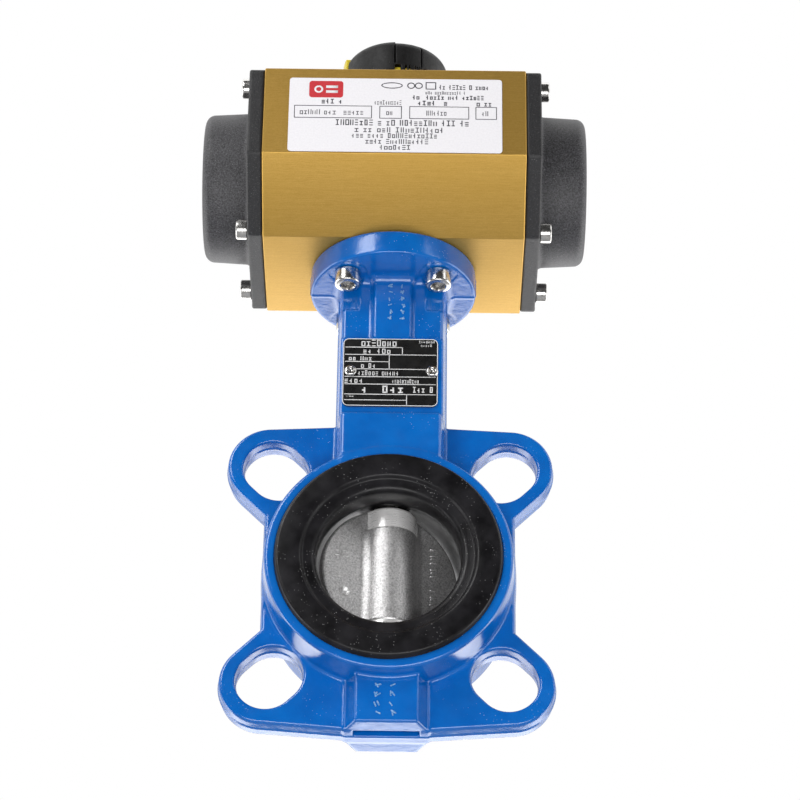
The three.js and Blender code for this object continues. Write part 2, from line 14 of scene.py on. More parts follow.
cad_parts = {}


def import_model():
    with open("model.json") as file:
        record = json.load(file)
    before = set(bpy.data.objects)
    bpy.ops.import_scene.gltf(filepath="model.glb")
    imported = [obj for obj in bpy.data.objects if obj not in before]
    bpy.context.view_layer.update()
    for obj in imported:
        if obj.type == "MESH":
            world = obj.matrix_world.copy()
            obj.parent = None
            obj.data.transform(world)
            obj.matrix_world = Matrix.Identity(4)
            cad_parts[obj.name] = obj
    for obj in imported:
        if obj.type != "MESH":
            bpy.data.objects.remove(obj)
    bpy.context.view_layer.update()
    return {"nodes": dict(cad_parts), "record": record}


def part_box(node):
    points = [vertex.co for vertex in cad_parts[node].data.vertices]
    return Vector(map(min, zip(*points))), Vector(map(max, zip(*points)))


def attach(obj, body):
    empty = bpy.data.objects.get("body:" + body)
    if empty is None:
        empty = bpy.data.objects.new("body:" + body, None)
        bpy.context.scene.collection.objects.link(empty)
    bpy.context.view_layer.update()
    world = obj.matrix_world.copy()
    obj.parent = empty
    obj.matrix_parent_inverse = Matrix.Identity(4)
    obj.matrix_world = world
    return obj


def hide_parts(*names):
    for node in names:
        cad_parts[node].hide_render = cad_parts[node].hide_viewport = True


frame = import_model()
NODES = frame["nodes"]
MM = 0.001


def box_mm(node):
    """Lowest and highest corner of a CAD node in millimetres."""
    lo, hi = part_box(node)
    return np.array(lo) / MM, np.array(hi) / MM


# ---- sizes, mm
BODY_LO, BODY_HI = box_mm("actuator_body")
CAP_LO, CAP_HI = box_mm("end_cap_right")
VALVE_LO, VALVE_HI = box_mm("valve_body")
DISC_LO, DISC_HI = box_mm("valve_disc")
LINER_LO, LINER_HI = box_mm("seat_liner")
PLATE_LO, PLATE_HI = box_mm("name_plate")
LABEL_LO, LABEL_HI = box_mm("label_plate")
DOME_LO, DOME_HI = box_mm("indicator_cap")
YELLOW_LO, YELLOW_HI = box_mm("indicator_base")

ACT_HALF_LEN = BODY_HI[0]
ACT_HALF_W = BODY_HI[1]
ACT_HALF_H = 40.4
ACT_Z = BODY_HI[2] - ACT_HALF_H
TOP_FACE = BODY_HI[2]
LOW_FACE = ACT_Z - ACT_HALF_H
FLAT_TOP_W = 27.2
FLAT_SIDE_H = 19.9
ACT_BORE_R = 33.0
CAP_PLATE = 6.1
CUP_START = ACT_HALF_LEN + CAP_PLATE
CAP_OUT = CAP_HI[0] - ACT_HALF_LEN
CUP_R = 29.7
SPIGOT_END = -3.4
CAP_SCREW_Y = 21.9
CAP_SCREW_Z = 33.9

BODY_HALF = 20.0
RING_R = 46.1
RING_MID_R = 47.2
WEB_X = 47.2
LUG_C = 45.4
LUG_R = 16.6
LUG_HALF = 5.5
SLOT_R = 11.1
SLOT_IN = 59.4 * math.sqrt(0.5)
SLOT_OUT = 63.1 * math.sqrt(0.5)
BOSS_BOTTOM = VALVE_LO[2]
FLANGE_R = 32.5
FLANGE_LOW = 125.4
FLANGE_TOP = VALVE_HI[2]
BOLT_XY = 25 * math.sqrt(0.5)
LINER_R = LINER_HI[0]
LINER_FACE = LINER_HI[1]
BORE_R = 26.9
SEAT_BALL_R = 28.75
POCKET_R = 42.4
DISC_R = DISC_HI[2]
HUB_R = 10.5
DISC_FRONT = -2.25
TURNED_ABOVE = 17.2
TURNED_BELOW = -21.0
DISC_TURN = math.radians(22)
DIAL_TURN = math.radians(11)
RIB_HALF_D = 14.4
BOSS_HALF_D = 13.8
STEM_HOLE_R = 7.3
LOW_STEM_HOLE_R = 6.3
LIFT_PAD = 1.5
TAP_R = 2.1
CORNER_STEPS = 6
QUARTERS = ((1, 1), (-1, 1), (-1, -1), (1, -1))


# ---- distance fields
def round_max(a, b, r):
    """Intersection of two fields with its convex edge rounded to radius r."""
    u, v = np.maximum(a + r, 0), np.maximum(b + r, 0)
    return np.minimum(-r, np.maximum(a, b)) + np.sqrt(u * u + v * v)


def round_min(a, b, r):
    """Union of two fields with a fillet of radius r in the corner."""
    u, v = np.maximum(r - a, 0), np.maximum(r - b, 0)
    return np.maximum(r, np.minimum(a, b)) - np.sqrt(u * u + v * v)


def cut(a, b, r):
    """Field a with field b taken out of it, the edge rounded to radius r."""
    return round_max(a, -b, r)


def slab(v, lo, hi):
    return np.abs(v - (lo + hi) / 2) - (hi - lo) / 2


def polygon_field(u, v, points):
    """Signed distance to a closed polygon in the u, v plane, negative inside."""
    best = None
    inside = None
    for (x0, y0), (x1, y1) in zip(points, points[1:] + points[:1]):
        ex, ey = x1 - x0, y1 - y0
        wx, wy = u - x0, v - y0
        t = np.clip((wx * ex + wy * ey) / (ex * ex + ey * ey), 0, 1)
        d = (wx - ex * t) ** 2 + (wy - ey * t) ** 2
        cross = ex * wy - ey * wx
        crossed = np.where(v >= y0, (v < y1) & (cross > 0), (v >= y1) & (cross < 0))
        best = d if best is None else np.minimum(best, d)
        inside = crossed if inside is None else inside ^ crossed
    return np.where(inside, -1, 1) * np.sqrt(best)


EDGES = [
    ((0, 0, 0), (1, 0, 0)), ((0, 1, 0), (1, 1, 0)), ((0, 0, 1), (1, 0, 1)), ((0, 1, 1), (1, 1, 1)),
    ((0, 0, 0), (0, 1, 0)), ((1, 0, 0), (1, 1, 0)), ((0, 0, 1), (0, 1, 1)), ((1, 0, 1), (1, 1, 1)),
    ((0, 0, 0), (0, 0, 1)), ((1, 0, 0), (1, 0, 1)), ((0, 1, 0), (0, 1, 1)), ((1, 1, 0), (1, 1, 1)),
]


def lift(field, lo, hi, step):
    """Vertices and quads of the zero surface of a field inside a box, one vertex per crossed cell."""
    axes = [np.arange(a, b + step, step, dtype=np.float32) for a, b in zip(lo, hi)]
    grid = np.meshgrid(*axes, indexing="ij", sparse=True)
    f = np.asarray(field(*grid), np.float32)
    inside = f < 0
    n = [len(a) - 1 for a in axes]
    mixed = np.zeros(n, bool)
    first = inside[:-1, :-1, :-1]
    for dx in (0, 1):
        for dy in (0, 1):
            for dz in (0, 1):
                mixed |= inside[dx:dx + n[0], dy:dy + n[1], dz:dz + n[2]] != first
    cell = np.argwhere(mixed)
    index = np.full(n, -1, np.int64)
    index[mixed] = np.arange(len(cell))
    total = np.zeros((len(cell), 3))
    count = np.zeros(len(cell))
    for a, b in EDGES:
        fa = f[cell[:, 0] + a[0], cell[:, 1] + a[1], cell[:, 2] + a[2]]
        fb = f[cell[:, 0] + b[0], cell[:, 1] + b[1], cell[:, 2] + b[2]]
        crossed = (fa < 0) != (fb < 0)
        t = np.where(crossed, fa / np.where(crossed, fa - fb, 1), 0)
        point = np.array(a) + t[:, None] * (np.array(b) - np.array(a))
        total += point * crossed[:, None]
        count += crossed
    verts = (cell + total / count[:, None]) * step + np.array([a[0] for a in axes])
    quads = []
    for axis in range(3):
        other = [k for k in range(3) if k != axis]
        span = [slice(None)] * 3
        span[axis] = slice(0, -1)
        low = inside[tuple(span)]
        span[axis] = slice(1, None)
        high = inside[tuple(span)]
        where = np.argwhere(low != high)
        ok = np.all([(where[:, k] > 0) & (where[:, k] < n[k]) for k in other], axis=0)
        where = where[ok]
        corner = []
        for s, t in ((0, 0), (1, 0), (1, 1), (0, 1)):
            c = where.copy()
            c[:, other[0]] -= s
            c[:, other[1]] -= t
            corner.append(index[c[:, 0], c[:, 1], c[:, 2]])
        q = np.stack(corner, 1)
        outward = low[where[:, 0], where[:, 1], where[:, 2]] ^ (axis == 1)
        q[~outward] = q[~outward][:, ::-1]
        quads.append(q)
    quads = np.concatenate(quads)
    h = step * 0.05
    for _ in range(2):
        x, y, z = verts.T
        value = field(x, y, z)
        slope = np.stack([
            (field(x + h, y, z) - value) / h,
            (field(x, y + h, z) - value) / h,
            (field(x, y, z + h) - value) / h,
        ], 1)
        move = -(value / np.maximum((slope ** 2).sum(1), 0.25))[:, None] * slope
        length = np.linalg.norm(move, axis=1, keepdims=True)
        verts = verts + move * np.minimum(1, step * 0.5 / np.maximum(length, 1e-9))
    return verts, quads


# ---- mesh tools
def mesh_object(name, verts, faces, smooth_angle=40):
    """An object in metres from vertices in millimetres and faces of any size."""
    mesh = bpy.data.meshes.new(name)
    if isinstance(faces, np.ndarray):
        mesh.vertices.add(len(verts))
        mesh.vertices.foreach_set("co", (np.asarray(verts, float) * MM).ravel())
        mesh.loops.add(faces.size)
        mesh.loops.foreach_set("vertex_index", faces.ravel().astype(np.int32))
        mesh.polygons.add(len(faces))
        mesh.polygons.foreach_set("loop_start", np.arange(0, faces.size, faces.shape[1], dtype=np.int32))
    else:
        mesh.from_pydata([tuple(float(c) * MM for c in v) for v in verts], [], faces)
    mesh.update(calc_edges=True)
    mesh.validate()
    mesh.shade_smooth()
    if smooth_angle:
        mesh.set_sharp_from_angle(angle=math.radians(smooth_angle))
    made = bpy.data.objects.new(name, mesh)
    bpy.context.scene.collection.objects.link(made)
    return made


def cast_piece(name, field, lo, hi, step):
    """A smooth piece lifted from a field, with room for the surface round its box."""
    coarse = 1.0
    verts, quads = lift(field, np.array(lo) - LIFT_PAD, np.array(hi) + LIFT_PAD, step * coarse)
    return mesh_object(name, verts, quads, 0)


def loft(rings, closed_ends=True):
    """Vertices and faces through rings of equal point count, ends closed by fans to their middles."""
    n = len(rings[0])
    verts = [p for ring in rings for p in ring]
    faces = []
    for k in range(len(rings) - 1):
        for i in range(n):
            j = (i + 1) % n
            faces.append((k * n + i, k * n + j, (k + 1) * n + j, (k + 1) * n + i))
    if closed_ends:
        for base, flip in ((0, True), ((len(rings) - 1) * n, False)):
            middle = len(verts)
            verts.append(np.mean(verts[base:base + n], axis=0))
            for i in range(n):
                j = (i + 1) % n
                faces.append((base + j, base + i, middle) if flip else (base + i, base + j, middle))
    return verts, faces


def loft_round(rings):
    """Vertices and faces through rings whose last one joins the first again."""
    verts, faces = loft([*rings, rings[0]], closed_ends=False)
    last = len(rings) * len(rings[0])
    return verts[:last], [tuple(v % last for v in f) for f in faces]


def ring_points(r, h, count, sides=0):
    """A ring about Z at height h, round or with flat sides whose flats are at distance r."""
    points = []
    for i in range(count):
        a = 2 * math.pi * i / count
        radius = r
        if sides:
            step = 2 * math.pi / sides
            radius = r / math.cos((a + step / 2) % step - step / 2)
        points.append((radius * math.cos(a), radius * math.sin(a), h))
    return points


def lathe(name, profile, count=64, matrix=None, tube=False, smooth_angle=40):
    """A turned piece about Z from (radius, height) or (flat distance, height, sides) rows.
    The profile goes up the outside; a tube's profile is a closed loop."""
    rings = [ring_points(row[0], row[1], count, row[2] if len(row) > 2 else 0) for row in profile]
    verts, faces = loft_round(rings) if tube else loft(rings)
    if matrix is not None:
        verts = [tuple(matrix @ Vector(v)) for v in verts]
    return mesh_object(name, verts, faces, smooth_angle)


def along(axis, at=(0, 0, 0), flip=False):
    """Matrix that turns a Z-axis piece onto the X or Y axis and moves it, in millimetres."""
    quarter = math.pi / 2
    turn = Matrix.Rotation(quarter, 4, "Y") if axis == "X" else Matrix.Rotation(-quarter, 4, "X")
    if flip:
        turn = turn @ Matrix.Rotation(math.pi, 4, "X")
    return Matrix.Translation(at) @ turn


def rounded_outline(x0, x1, z0, z1, r, inset=0.0):
    """Points round a rectangle with rounded corners, moved in by inset."""
    points = []
    r = max(r - inset, 0.05)
    x0, x1, z0, z1 = x0 + inset, x1 - inset, z0 + inset, z1 - inset
    middles = ((x1 - r, z1 - r), (x0 + r, z1 - r), (x0 + r, z0 + r), (x1 - r, z0 + r))
    for quarter, (cx, cz) in enumerate(middles):
        for i in range(CORNER_STEPS + 1):
            a = math.radians(90 * quarter + 90 * i / CORNER_STEPS)
            points.append((cx + r * math.cos(a), cz + r * math.sin(a)))
    return points


def front_plate(name, x0, x1, z0, z1, r, back, front, edge):
    """A thin rounded plate facing -Y with a small chamfer round its front edge."""
    def ring(y, inset):
        return [(x, y, z) for x, z in rounded_outline(x0, x1, z0, z1, r, inset)]
    verts, faces = loft([ring(back, 0), ring(front + edge, 0), ring(front, edge)])
    return mesh_object(name, verts, faces, 30)


class Marks:
    """Many small closed bars and strokes gathered into one mesh."""

    def __init__(self):
        self.verts = []
        self.faces = []

    def add(self, verts, faces):
        base = len(self.verts)
        self.verts += [tuple(v) for v in verts]
        self.faces += [tuple(base + i for i in f) for f in faces]

    def bar(self, x0, x1, z0, z1, back, front):
        corners = [(x0, z0), (x1, z0), (x1, z1), (x0, z1)]
        verts = [(x, y, z) for y in (back, front) for x, z in corners]
        faces = [(0, 1, 2, 3), (7, 6, 5, 4), (0, 4, 5, 1), (1, 5, 6, 2), (2, 6, 7, 3), (3, 7, 4, 0)]
        self.add(verts, [f[::-1] for f in faces])

    def frame(self, x0, x1, z0, z1, w, back, front):
        self.bar(x0, x1, z0, z0 + w, back, front)
        self.bar(x0, x1, z1 - w, z1, back, front)
        self.bar(x0, x0 + w, z0 + w, z1 - w, back, front)
        self.bar(x1 - w, x1, z0 + w, z1 - w, back, front)

    def loop(self, cx, cz, rx, rz, w, back, front, count=24):
        """A flat ring outline facing -Y."""
        turns = [2 * math.pi * i / count for i in range(count)]
        rings = []
        for inset, y in ((0, front), (w, front), (w, back), (0, back)):
            rings.append([(cx + (rx - inset) * math.cos(a), y, cz + (rz - inset) * math.sin(a)) for a in turns])
        self.add(*loft_round(rings))

    def stroke(self, start, end, r):
        """A raised round-ended stroke between two points."""
        a, b = Vector(start), Vector(end)
        length = (b - a).length
        d = (b - a).normalized()
        side = d.orthogonal().normalized()
        up = d.cross(side)
        steps = [math.pi / 4 * k for k in range(8)]
        around = [side * math.cos(angle) + up * math.sin(angle) for angle in steps]
        rings = []
        for at, scale in ((-0.95 * r, 0.3), (-0.6 * r, 0.8), (0, 1),
                          (length, 1), (length + 0.6 * r, 0.8), (length + 0.95 * r, 0.3)):
            rings.append([tuple(a + d * at + out * r * scale) for out in around])
        verts, faces = loft(rings)
        self.add(verts, faces)

    def object(self, name, smooth_angle=30):
        return mesh_object(name, self.verts, self.faces, smooth_angle)


def cut_with(piece, *cutters):
    """Takes cutter objects out of a piece and removes them."""
    for cutter in cutters:
        modifier = piece.modifiers.new("cut", "BOOLEAN")
        modifier.operation = "DIFFERENCE"
        modifier.solver = "EXACT"
        modifier.object = cutter
    bake_modifiers(piece)
    for cutter in cutters:
        bpy.data.objects.remove(cutter)


def bake_modifiers(piece):
    graph = bpy.context.evaluated_depsgraph_get()
    made = bpy.data.meshes.new_from_object(piece.evaluated_get(graph))
    piece.modifiers.clear()
    old = piece.data
    piece.data = made
    bpy.data.meshes.remove(old)
    made.name = piece.name


# ---- materials
class Look:
    """A Principled material with helpers for procedural detail in object coordinates."""

    def __init__(self, name, color, rough, metal=0.0, **sockets):
        self.mat = bpy.data.materials.new(name)
        self.mat.use_nodes = True
        self.mat.diffuse_color = (*color, 1)
        self.tree = self.mat.node_tree
        self.bsdf = self.tree.nodes["Principled BSDF"]
        self.bsdf.inputs["Base Color"].default_value = (*color, 1)
        self.bsdf.inputs["Roughness"].default_value = rough
        self.bsdf.inputs["Metallic"].default_value = metal
        for key, value in sockets.items():
            self.bsdf.inputs[key.replace("_", " ")].default_value = value
        self.coords = self.tree.nodes.new("ShaderNodeTexCoord").outputs["Object"]
        self.normal = None

    def link(self, a, b):
        self.tree.links.new(a, b)

    def stretched(self, scale):
        node = self.tree.nodes.new("ShaderNodeMapping")
        node.inputs["Scale"].default_value = scale
        self.link(self.coords, node.inputs["Vector"])
        return node.outputs["Vector"]

    def noise(self, scale, detail=3.0, rough=0.55, vector=None):
        node = self.tree.nodes.new("ShaderNodeTexNoise")
        node.inputs["Scale"].default_value = scale
        node.inputs["Detail"].default_value = detail
        node.inputs["Roughness"].default_value = rough
        self.link(vector or self.coords, node.inputs["Vector"])
        return node.outputs["Fac"]

    def dots(self, scale, size):
        """One at the middle of sparse cells, nought elsewhere."""
        node = self.tree.nodes.new("ShaderNodeTexVoronoi")
        node.inputs["Scale"].default_value = scale
        self.link(self.coords, node.inputs["Vector"])
        return self.ramp(node.outputs["Distance"], size * 0.5, size, 1.0, 0.0)

    def ramp(self, value, low, high, at_low, at_high):
        node = self.tree.nodes.new("ShaderNodeMapRange")
        node.clamp = True
        for key, v in (("From Min", low), ("From Max", high), ("To Min", at_low), ("To Max", at_high)):
            node.inputs[key].default_value = v
        self.link(value, node.inputs["Value"])
        return node.outputs["Result"]

    def math(self, kind, a, b):
        node = self.tree.nodes.new("ShaderNodeMath")
        node.operation = kind
        for i, v in enumerate((a, b)):
            if isinstance(v, (int, float)):
                node.inputs[i].default_value = v
            else:
                self.link(v, node.inputs[i])
        return node.outputs[0]

    def mix(self, factor, a, b):
        node = self.tree.nodes.new("ShaderNodeMix")
        node.data_type = "RGBA"
        self.link(factor, node.inputs["Factor"])
        for socket, v in ((node.inputs[6], a), (node.inputs[7], b)):
            if isinstance(v, tuple):
                socket.default_value = (*v, 1)
            else:
                self.link(v, socket)
        return node.outputs[2]

    def shade(self, value, dark, light, low=0.3, high=0.7):
        """Colour that goes from dark to light as a value goes from low to high."""
        return self.mix(self.ramp(value, low, high, 0, 1), dark, light)

    def dust(self, scale, size, patches, low, high, most):
        """Sparse specks that gather in patches."""
        where = self.ramp(self.noise(patches, 2), low, high, 0, most)
        return self.math("MULTIPLY", self.dots(scale, size), where)

    def color(self, source):
        self.link(source, self.bsdf.inputs["Base Color"])

    def roughness(self, value, low, high):
        self.link(self.ramp(value, 0.3, 0.7, low, high), self.bsdf.inputs["Roughness"])

    def bump(self, height, distance):
        node = self.tree.nodes.new("ShaderNodeBump")
        node.inputs["Distance"].default_value = distance * MM
        self.link(height, node.inputs["Height"])
        if self.normal is not None:
            self.link(self.normal, node.inputs["Normal"])
        self.normal = node.outputs["Normal"]
        self.link(self.normal, self.bsdf.inputs["Normal"])

    def position(self, axis):
        node = self.tree.nodes.new("ShaderNodeSeparateXYZ")
        self.link(self.coords, node.inputs[0])
        return node.outputs[axis]


def blue_epoxy():
    look = Look("blue_epoxy", (0.0, 0.11, 0.41), 0.12, IOR=1.6)
    tint = look.shade(look.noise(90, 4), (0.0, 0.106, 0.430), (0.0, 0.136, 0.510), 0.35, 0.68)
    look.color(look.mix(look.dust(800, 0.16, 55, 0.54, 0.66, 0.6), tint, (0.42, 0.55, 0.80)))
    look.roughness(look.noise(140, 3), 0.12, 0.24)
    look.bump(look.noise(260, 2), 0.10)
    look.bump(look.noise(1500, 3), 0.018)
    return look.mat


def gold_anodised():
    look = Look("gold_anodised", (0.62, 0.40, 0.12), 0.46, 0.8)
    grain = look.noise(1.0, 4, 0.65, look.stretched((260, 3400, 3400)))
    streak = look.noise(1.0, 3, 0.5, look.stretched((40, 2200, 2200)))
    speck = look.noise(2100, 3, 0.7)
    cloud = look.noise(28, 3)
    tone = look.math("ADD", look.math("MULTIPLY", grain, 0.45), look.math("MULTIPLY", streak, 0.2))
    tone = look.math("ADD", tone, look.math("MULTIPLY", speck, 0.35))
    base = look.shade(tone, (0.43, 0.255, 0.048), (0.59, 0.368, 0.092), 0.36, 0.64)
    look.color(look.mix(look.ramp(cloud, 0.35, 0.7, 0, 0.35), base, (0.48, 0.285, 0.05)))
    look.roughness(grain, 0.42, 0.54)
    look.bump(grain, 0.010)
    look.bump(look.noise(60, 2), 0.02)
    return look.mat


def black_coating():
    look = Look("black_coating", (0.03, 0.03, 0.032), 0.5)
    grain = look.noise(1700, 4, 0.65)
    speck = look.ramp(look.noise(2600, 2), 0.62, 0.74, 0, 0.85)
    base = look.shade(grain, (0.006, 0.0058, 0.0065), (0.022, 0.0215, 0.0235), 0.35, 0.68)
    tone = look.mix(speck, base, (0.15, 0.15, 0.155))
    # Past the plates the cups turn a lighter speckled grey: partly the textured coating's own speckle, partly
    # painted sheen that lifts the cups above the plates.
    outward = look.math("ABSOLUTE", look.position("X"), 0)
    cup = look.ramp(outward, CUP_START * MM, (CUP_START + 0.6) * MM, 0, 1)
    frost_and_painted_sheen = look.mix(speck, (0.095, 0.093, 0.101), (0.34, 0.34, 0.35))
    look.color(look.mix(cup, tone, look.shade(grain, tone, frost_and_painted_sheen, 0.35, 0.68)))
    look.roughness(grain, 0.42, 0.62)
    look.bump(grain, 0.14)
    look.bump(look.noise(240, 2), 0.06)
    return look.mat


def black_rubber():
    look = Look("black_rubber", (0.012, 0.012, 0.013), 0.42, Specular_IOR_Level=0.25)
    base = look.shade(look.noise(120, 3), (0.004, 0.0037, 0.0045), (0.014, 0.0133, 0.0155), 0.35)
    look.color(look.mix(look.dust(900, 0.16, 90, 0.48, 0.60, 0.9), base, (0.34, 0.34, 0.34)))
    look.roughness(look.noise(300, 3), 0.28, 0.42)
    look.bump(look.noise(700, 3), 0.02)
    return look.mat


def cast_stainless():
    look = Look("cast_stainless", (0.50, 0.49, 0.49), 0.36, 0.85)
    grain = look.noise(1500, 4, 0.7)
    look.color(look.shade(grain, (0.40, 0.395, 0.395), (0.90, 0.89, 0.89), 0.32, 0.68))
    look.roughness(look.noise(500, 3), 0.30, 0.44)
    look.bump(grain, 0.16)
    look.bump(look.noise(320, 2), 0.05)
    return look.mat


def turned_stainless():
    look = Look("turned_stainless", (0.86, 0.85, 0.84), 0.3, 0.5)
    lines = look.noise(1.0, 2, 0.5, look.stretched((300, 300, 2600)))
    look.color(look.shade(lines, (0.90, 0.89, 0.885), (0.94, 0.93, 0.92)))
    look.roughness(lines, 0.26, 0.32)
    look.bump(lines, 0.001)
    return look.mat


def bright_stainless():
    look = Look("bright_stainless", (0.62, 0.61, 0.59), 0.2, 1.0)
    smear = look.noise(700, 3)
    look.color(look.shade(smear, (0.50, 0.49, 0.475), (0.68, 0.67, 0.65)))
    look.roughness(smear, 0.16, 0.30)
    look.bump(look.noise(1900, 2), 0.008)
    return look.mat


def bare_alloy():
    look = Look("bare_alloy", (0.55, 0.56, 0.57), 0.38, 1.0)
    grain = look.noise(900, 3)
    look.color(look.shade(grain, (0.48, 0.49, 0.50), (0.60, 0.61, 0.62)))
    look.bump(grain, 0.02)
    return look.mat


def plastic(name, dark, light, rough, dust_color=None):
    look = Look(name, light, rough)
    grain = look.noise(1300, 3)
    shade = look.shade(grain, dark, light)
    if dust_color:
        shade = look.mix(look.dust(700, 0.12, 80, 0.5, 0.6, 0.7), shade, dust_color)
    look.color(shade)
    look.roughness(look.noise(400, 2), rough - 0.06, rough + 0.08)
    look.bump(grain, 0.03)
    return look.mat


BLUE = blue_epoxy()
GOLD = gold_anodised()
# The foundry marks get a paler blue than the casting: a painted highlight standing in for light caught on their
# raised crests.
BLUE_PAINTED_HIGHLIGHT = plastic("blue_painted_highlight", (0.03, 0.20, 0.50), (0.30, 0.46, 0.70), 0.2)
CAP_BLACK = black_coating()
RUBBER = black_rubber()
CAST_STEEL = cast_stainless()
TURNED_STEEL = turned_stainless()
STEEL = bright_stainless()
ALLOY = bare_alloy()
POLYMER = plastic("bearing_polymer", (0.66, 0.63, 0.56), (0.76, 0.74, 0.68), 0.45)
YELLOW = plastic("yellow_plastic", (0.72, 0.56, 0.02), (0.84, 0.68, 0.04), 0.4)
BLACK_PLASTIC = plastic("black_plastic", (0.004, 0.004, 0.0042), (0.011, 0.011, 0.0115), 0.5,
                        (0.12, 0.12, 0.12))
BLACK_PLASTIC.node_tree.nodes["Principled BSDF"].inputs["Specular IOR Level"].default_value = 0.3
LABEL_WHITE = plastic("label_film", (0.78, 0.765, 0.79), (0.84, 0.825, 0.85), 0.35)
LABEL_INK = plastic("label_ink", (0.012, 0.012, 0.022), (0.025, 0.025, 0.040), 0.5)
LABEL_RED = plastic("label_red", (0.50, 0.02, 0.03), (0.58, 0.03, 0.04), 0.45)
PLATE_BLACK = plastic("plate_black", (0.004, 0.004, 0.004), (0.009, 0.009, 0.009), 0.3)
PLATE_INK = plastic("plate_lines", (0.70, 0.70, 0.70), (0.80, 0.80, 0.80), 0.4)


def finish_piece(piece, material, body, replaces=()):
    """Gives a piece its material, the body it rides on and the CAD nodes it stands for."""
    piece.data.materials.clear()
    piece.data.materials.append(material)
    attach(piece, body)
    if replaces:
        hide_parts(*replaces)


# ---- valve casting
def arc_points(cx, cz, r, start, end, steps):
    return [(cx + r * math.cos(math.radians(start + (end - start) * i / steps)),
             cz + r * math.sin(math.radians(start + (end - start) * i / steps))) for i in range(steps + 1)]


def lug_quarter(root):
    return [
        (0, -1), (WEB_X, -1), (WEB_X, WEB_X - 2 * LUG_R * math.sqrt(0.5)),
        *arc_points(LUG_C, LUG_C, LUG_R, -45, 90, 24), root, (0, root[1]),
    ]


UPPER_LUG = lug_quarter((17, 63.4))
LOWER_LUG = lug_quarter((15.2, 64.3))


def lug_outline(x, z):
    """Distance to the lug plate's outline: one shape above the bore and another below."""
    upper = polygon_field(np.abs(x), z, UPPER_LUG)
    lower = polygon_field(np.abs(x), -z, LOWER_LUG)
    return np.where(z > 0, upper, lower)


def slot_outline(x, z):
    """Distance to the middle line of a lug slot, which points away from the bore."""
    u, v = np.abs(x), np.abs(z)
    length = (SLOT_OUT - SLOT_IN) * math.sqrt(2)
    p, q = u - SLOT_IN, v - SLOT_IN
    t = np.clip((p + q) * math.sqrt(0.5), 0, length)
    return np.sqrt((p - t * math.sqrt(0.5)) ** 2 + (q - t * math.sqrt(0.5)) ** 2)


def casting_field(x, y, z):
    ax, ay = np.abs(x), np.abs(y)
    bore = np.sqrt(x * x + z * z)
    stem = np.sqrt(x * x + y * y)
    draft = (RING_MID_R - RING_R) / BODY_HALF
    ring = round_max(bore - (RING_MID_R - draft * ay), ay - BODY_HALF, 1.2)
    lugs = round_max(lug_outline(x, z) + 0.06 * ay, ay - LUG_HALF, 1.1)
    neck = round_max(ax - (21.1 - 0.125 * ay), ay - 12.0, 1.6)
    neck = np.maximum(neck, slab(z, 38, FLANGE_LOW + 1))
    pad = round_max(round_max(ax - 19.9, ay - 15.4, 1.0), slab(z, 60, 97.4), 1.0)
    root = round_max(round_max(ax - (21.1 - 0.1 * ay), ay - 19.5, 1.5), slab(z, 38, 61.8), 1.4)
    rib = round_max(round_max(ax - 7.4, ay - RIB_HALF_D, 1.0), slab(z, 92, FLANGE_LOW + 1), 0.6)
    neck = round_min(neck, rib, 2.0)
    neck = round_min(neck, pad, 0.8)
    neck = round_min(neck, root, 1.0)
    flange = round_max(stem - FLANGE_R, slab(z, FLANGE_LOW, FLANGE_TOP), 0.9)
    neck = round_min(neck, flange, 4.0)
    bolt = np.sqrt((ax - BOLT_XY) ** 2 + (ay - BOLT_XY) ** 2)
    spot = np.maximum(bolt - 7.2, slab(z, 112, FLANGE_LOW))
    neck = cut(neck, spot, 0.5)
    flank = (ax - 11.4) * 0.9092 + (ay - BOSS_HALF_D) * 0.4163
    boss = round_max(np.maximum(flank, ax - 15.6), ay - BOSS_HALF_D, 0.7)
    boss = round_max(boss, slab(z, BOSS_BOTTOM, -38), 0.8)
    groove = np.maximum(np.maximum(ax - 12, slab(y, -5.2, -0.7)), z - (BOSS_BOTTOM + 3.2))
    body = round_min(ring, lugs, 1.6)
    body = round_min(body, boss, 1.2)
    body = round_min(body, neck, 1.6)
    seam = 0.30 * np.exp(-(y / 0.42) ** 2) * np.clip(FLANGE_TOP - 1 - z, 0, 1)
    slots = slot_outline(x, z) - (SLOT_R + 0.05 * ay)
    body = cut(body, slots, 0.9) - seam
    body = cut(body, groove, 0.4)
    pocket = np.minimum(bore - 37.5, np.maximum(bore - POCKET_R, 17.4 - ay))
    body = cut(body, pocket, 0.35)
    holes = np.minimum(
        np.maximum(stem - 9.5, 30 - z),
        np.maximum(stem - 17.8, FLANGE_TOP - 3.2 - z))
    holes = np.minimum(holes, np.maximum(stem - LOW_STEM_HOLE_R, slab(z, -57, -30)))
    holes = np.minimum(holes, np.maximum(bolt - 3.4, 120 - z))
    return np.maximum(body, -holes)


def valve_casting():
    made = cast_piece("valve_casting", casting_field, VALVE_LO, VALVE_HI, 0.6)
    finish_piece(made, BLUE, "housing", ["valve_body"])


def foundry_mark(marks, draw, x, y, z, size):
    """Two or three short raised strokes at odd angles."""
    for _ in range(draw.choice((1, 2, 2, 3))):
        a = draw.uniform(0, math.pi)
        cx, cz = x + draw.uniform(-0.6, 0.6) * size, z + draw.uniform(-0.5, 0.5) * size
        dx, dz = math.cos(a) * size * 0.7, math.sin(a) * size * 0.7
        marks.stroke((cx - dx, y, cz - dz), (cx + dx, y, cz + dz), draw.uniform(0.26, 0.42))


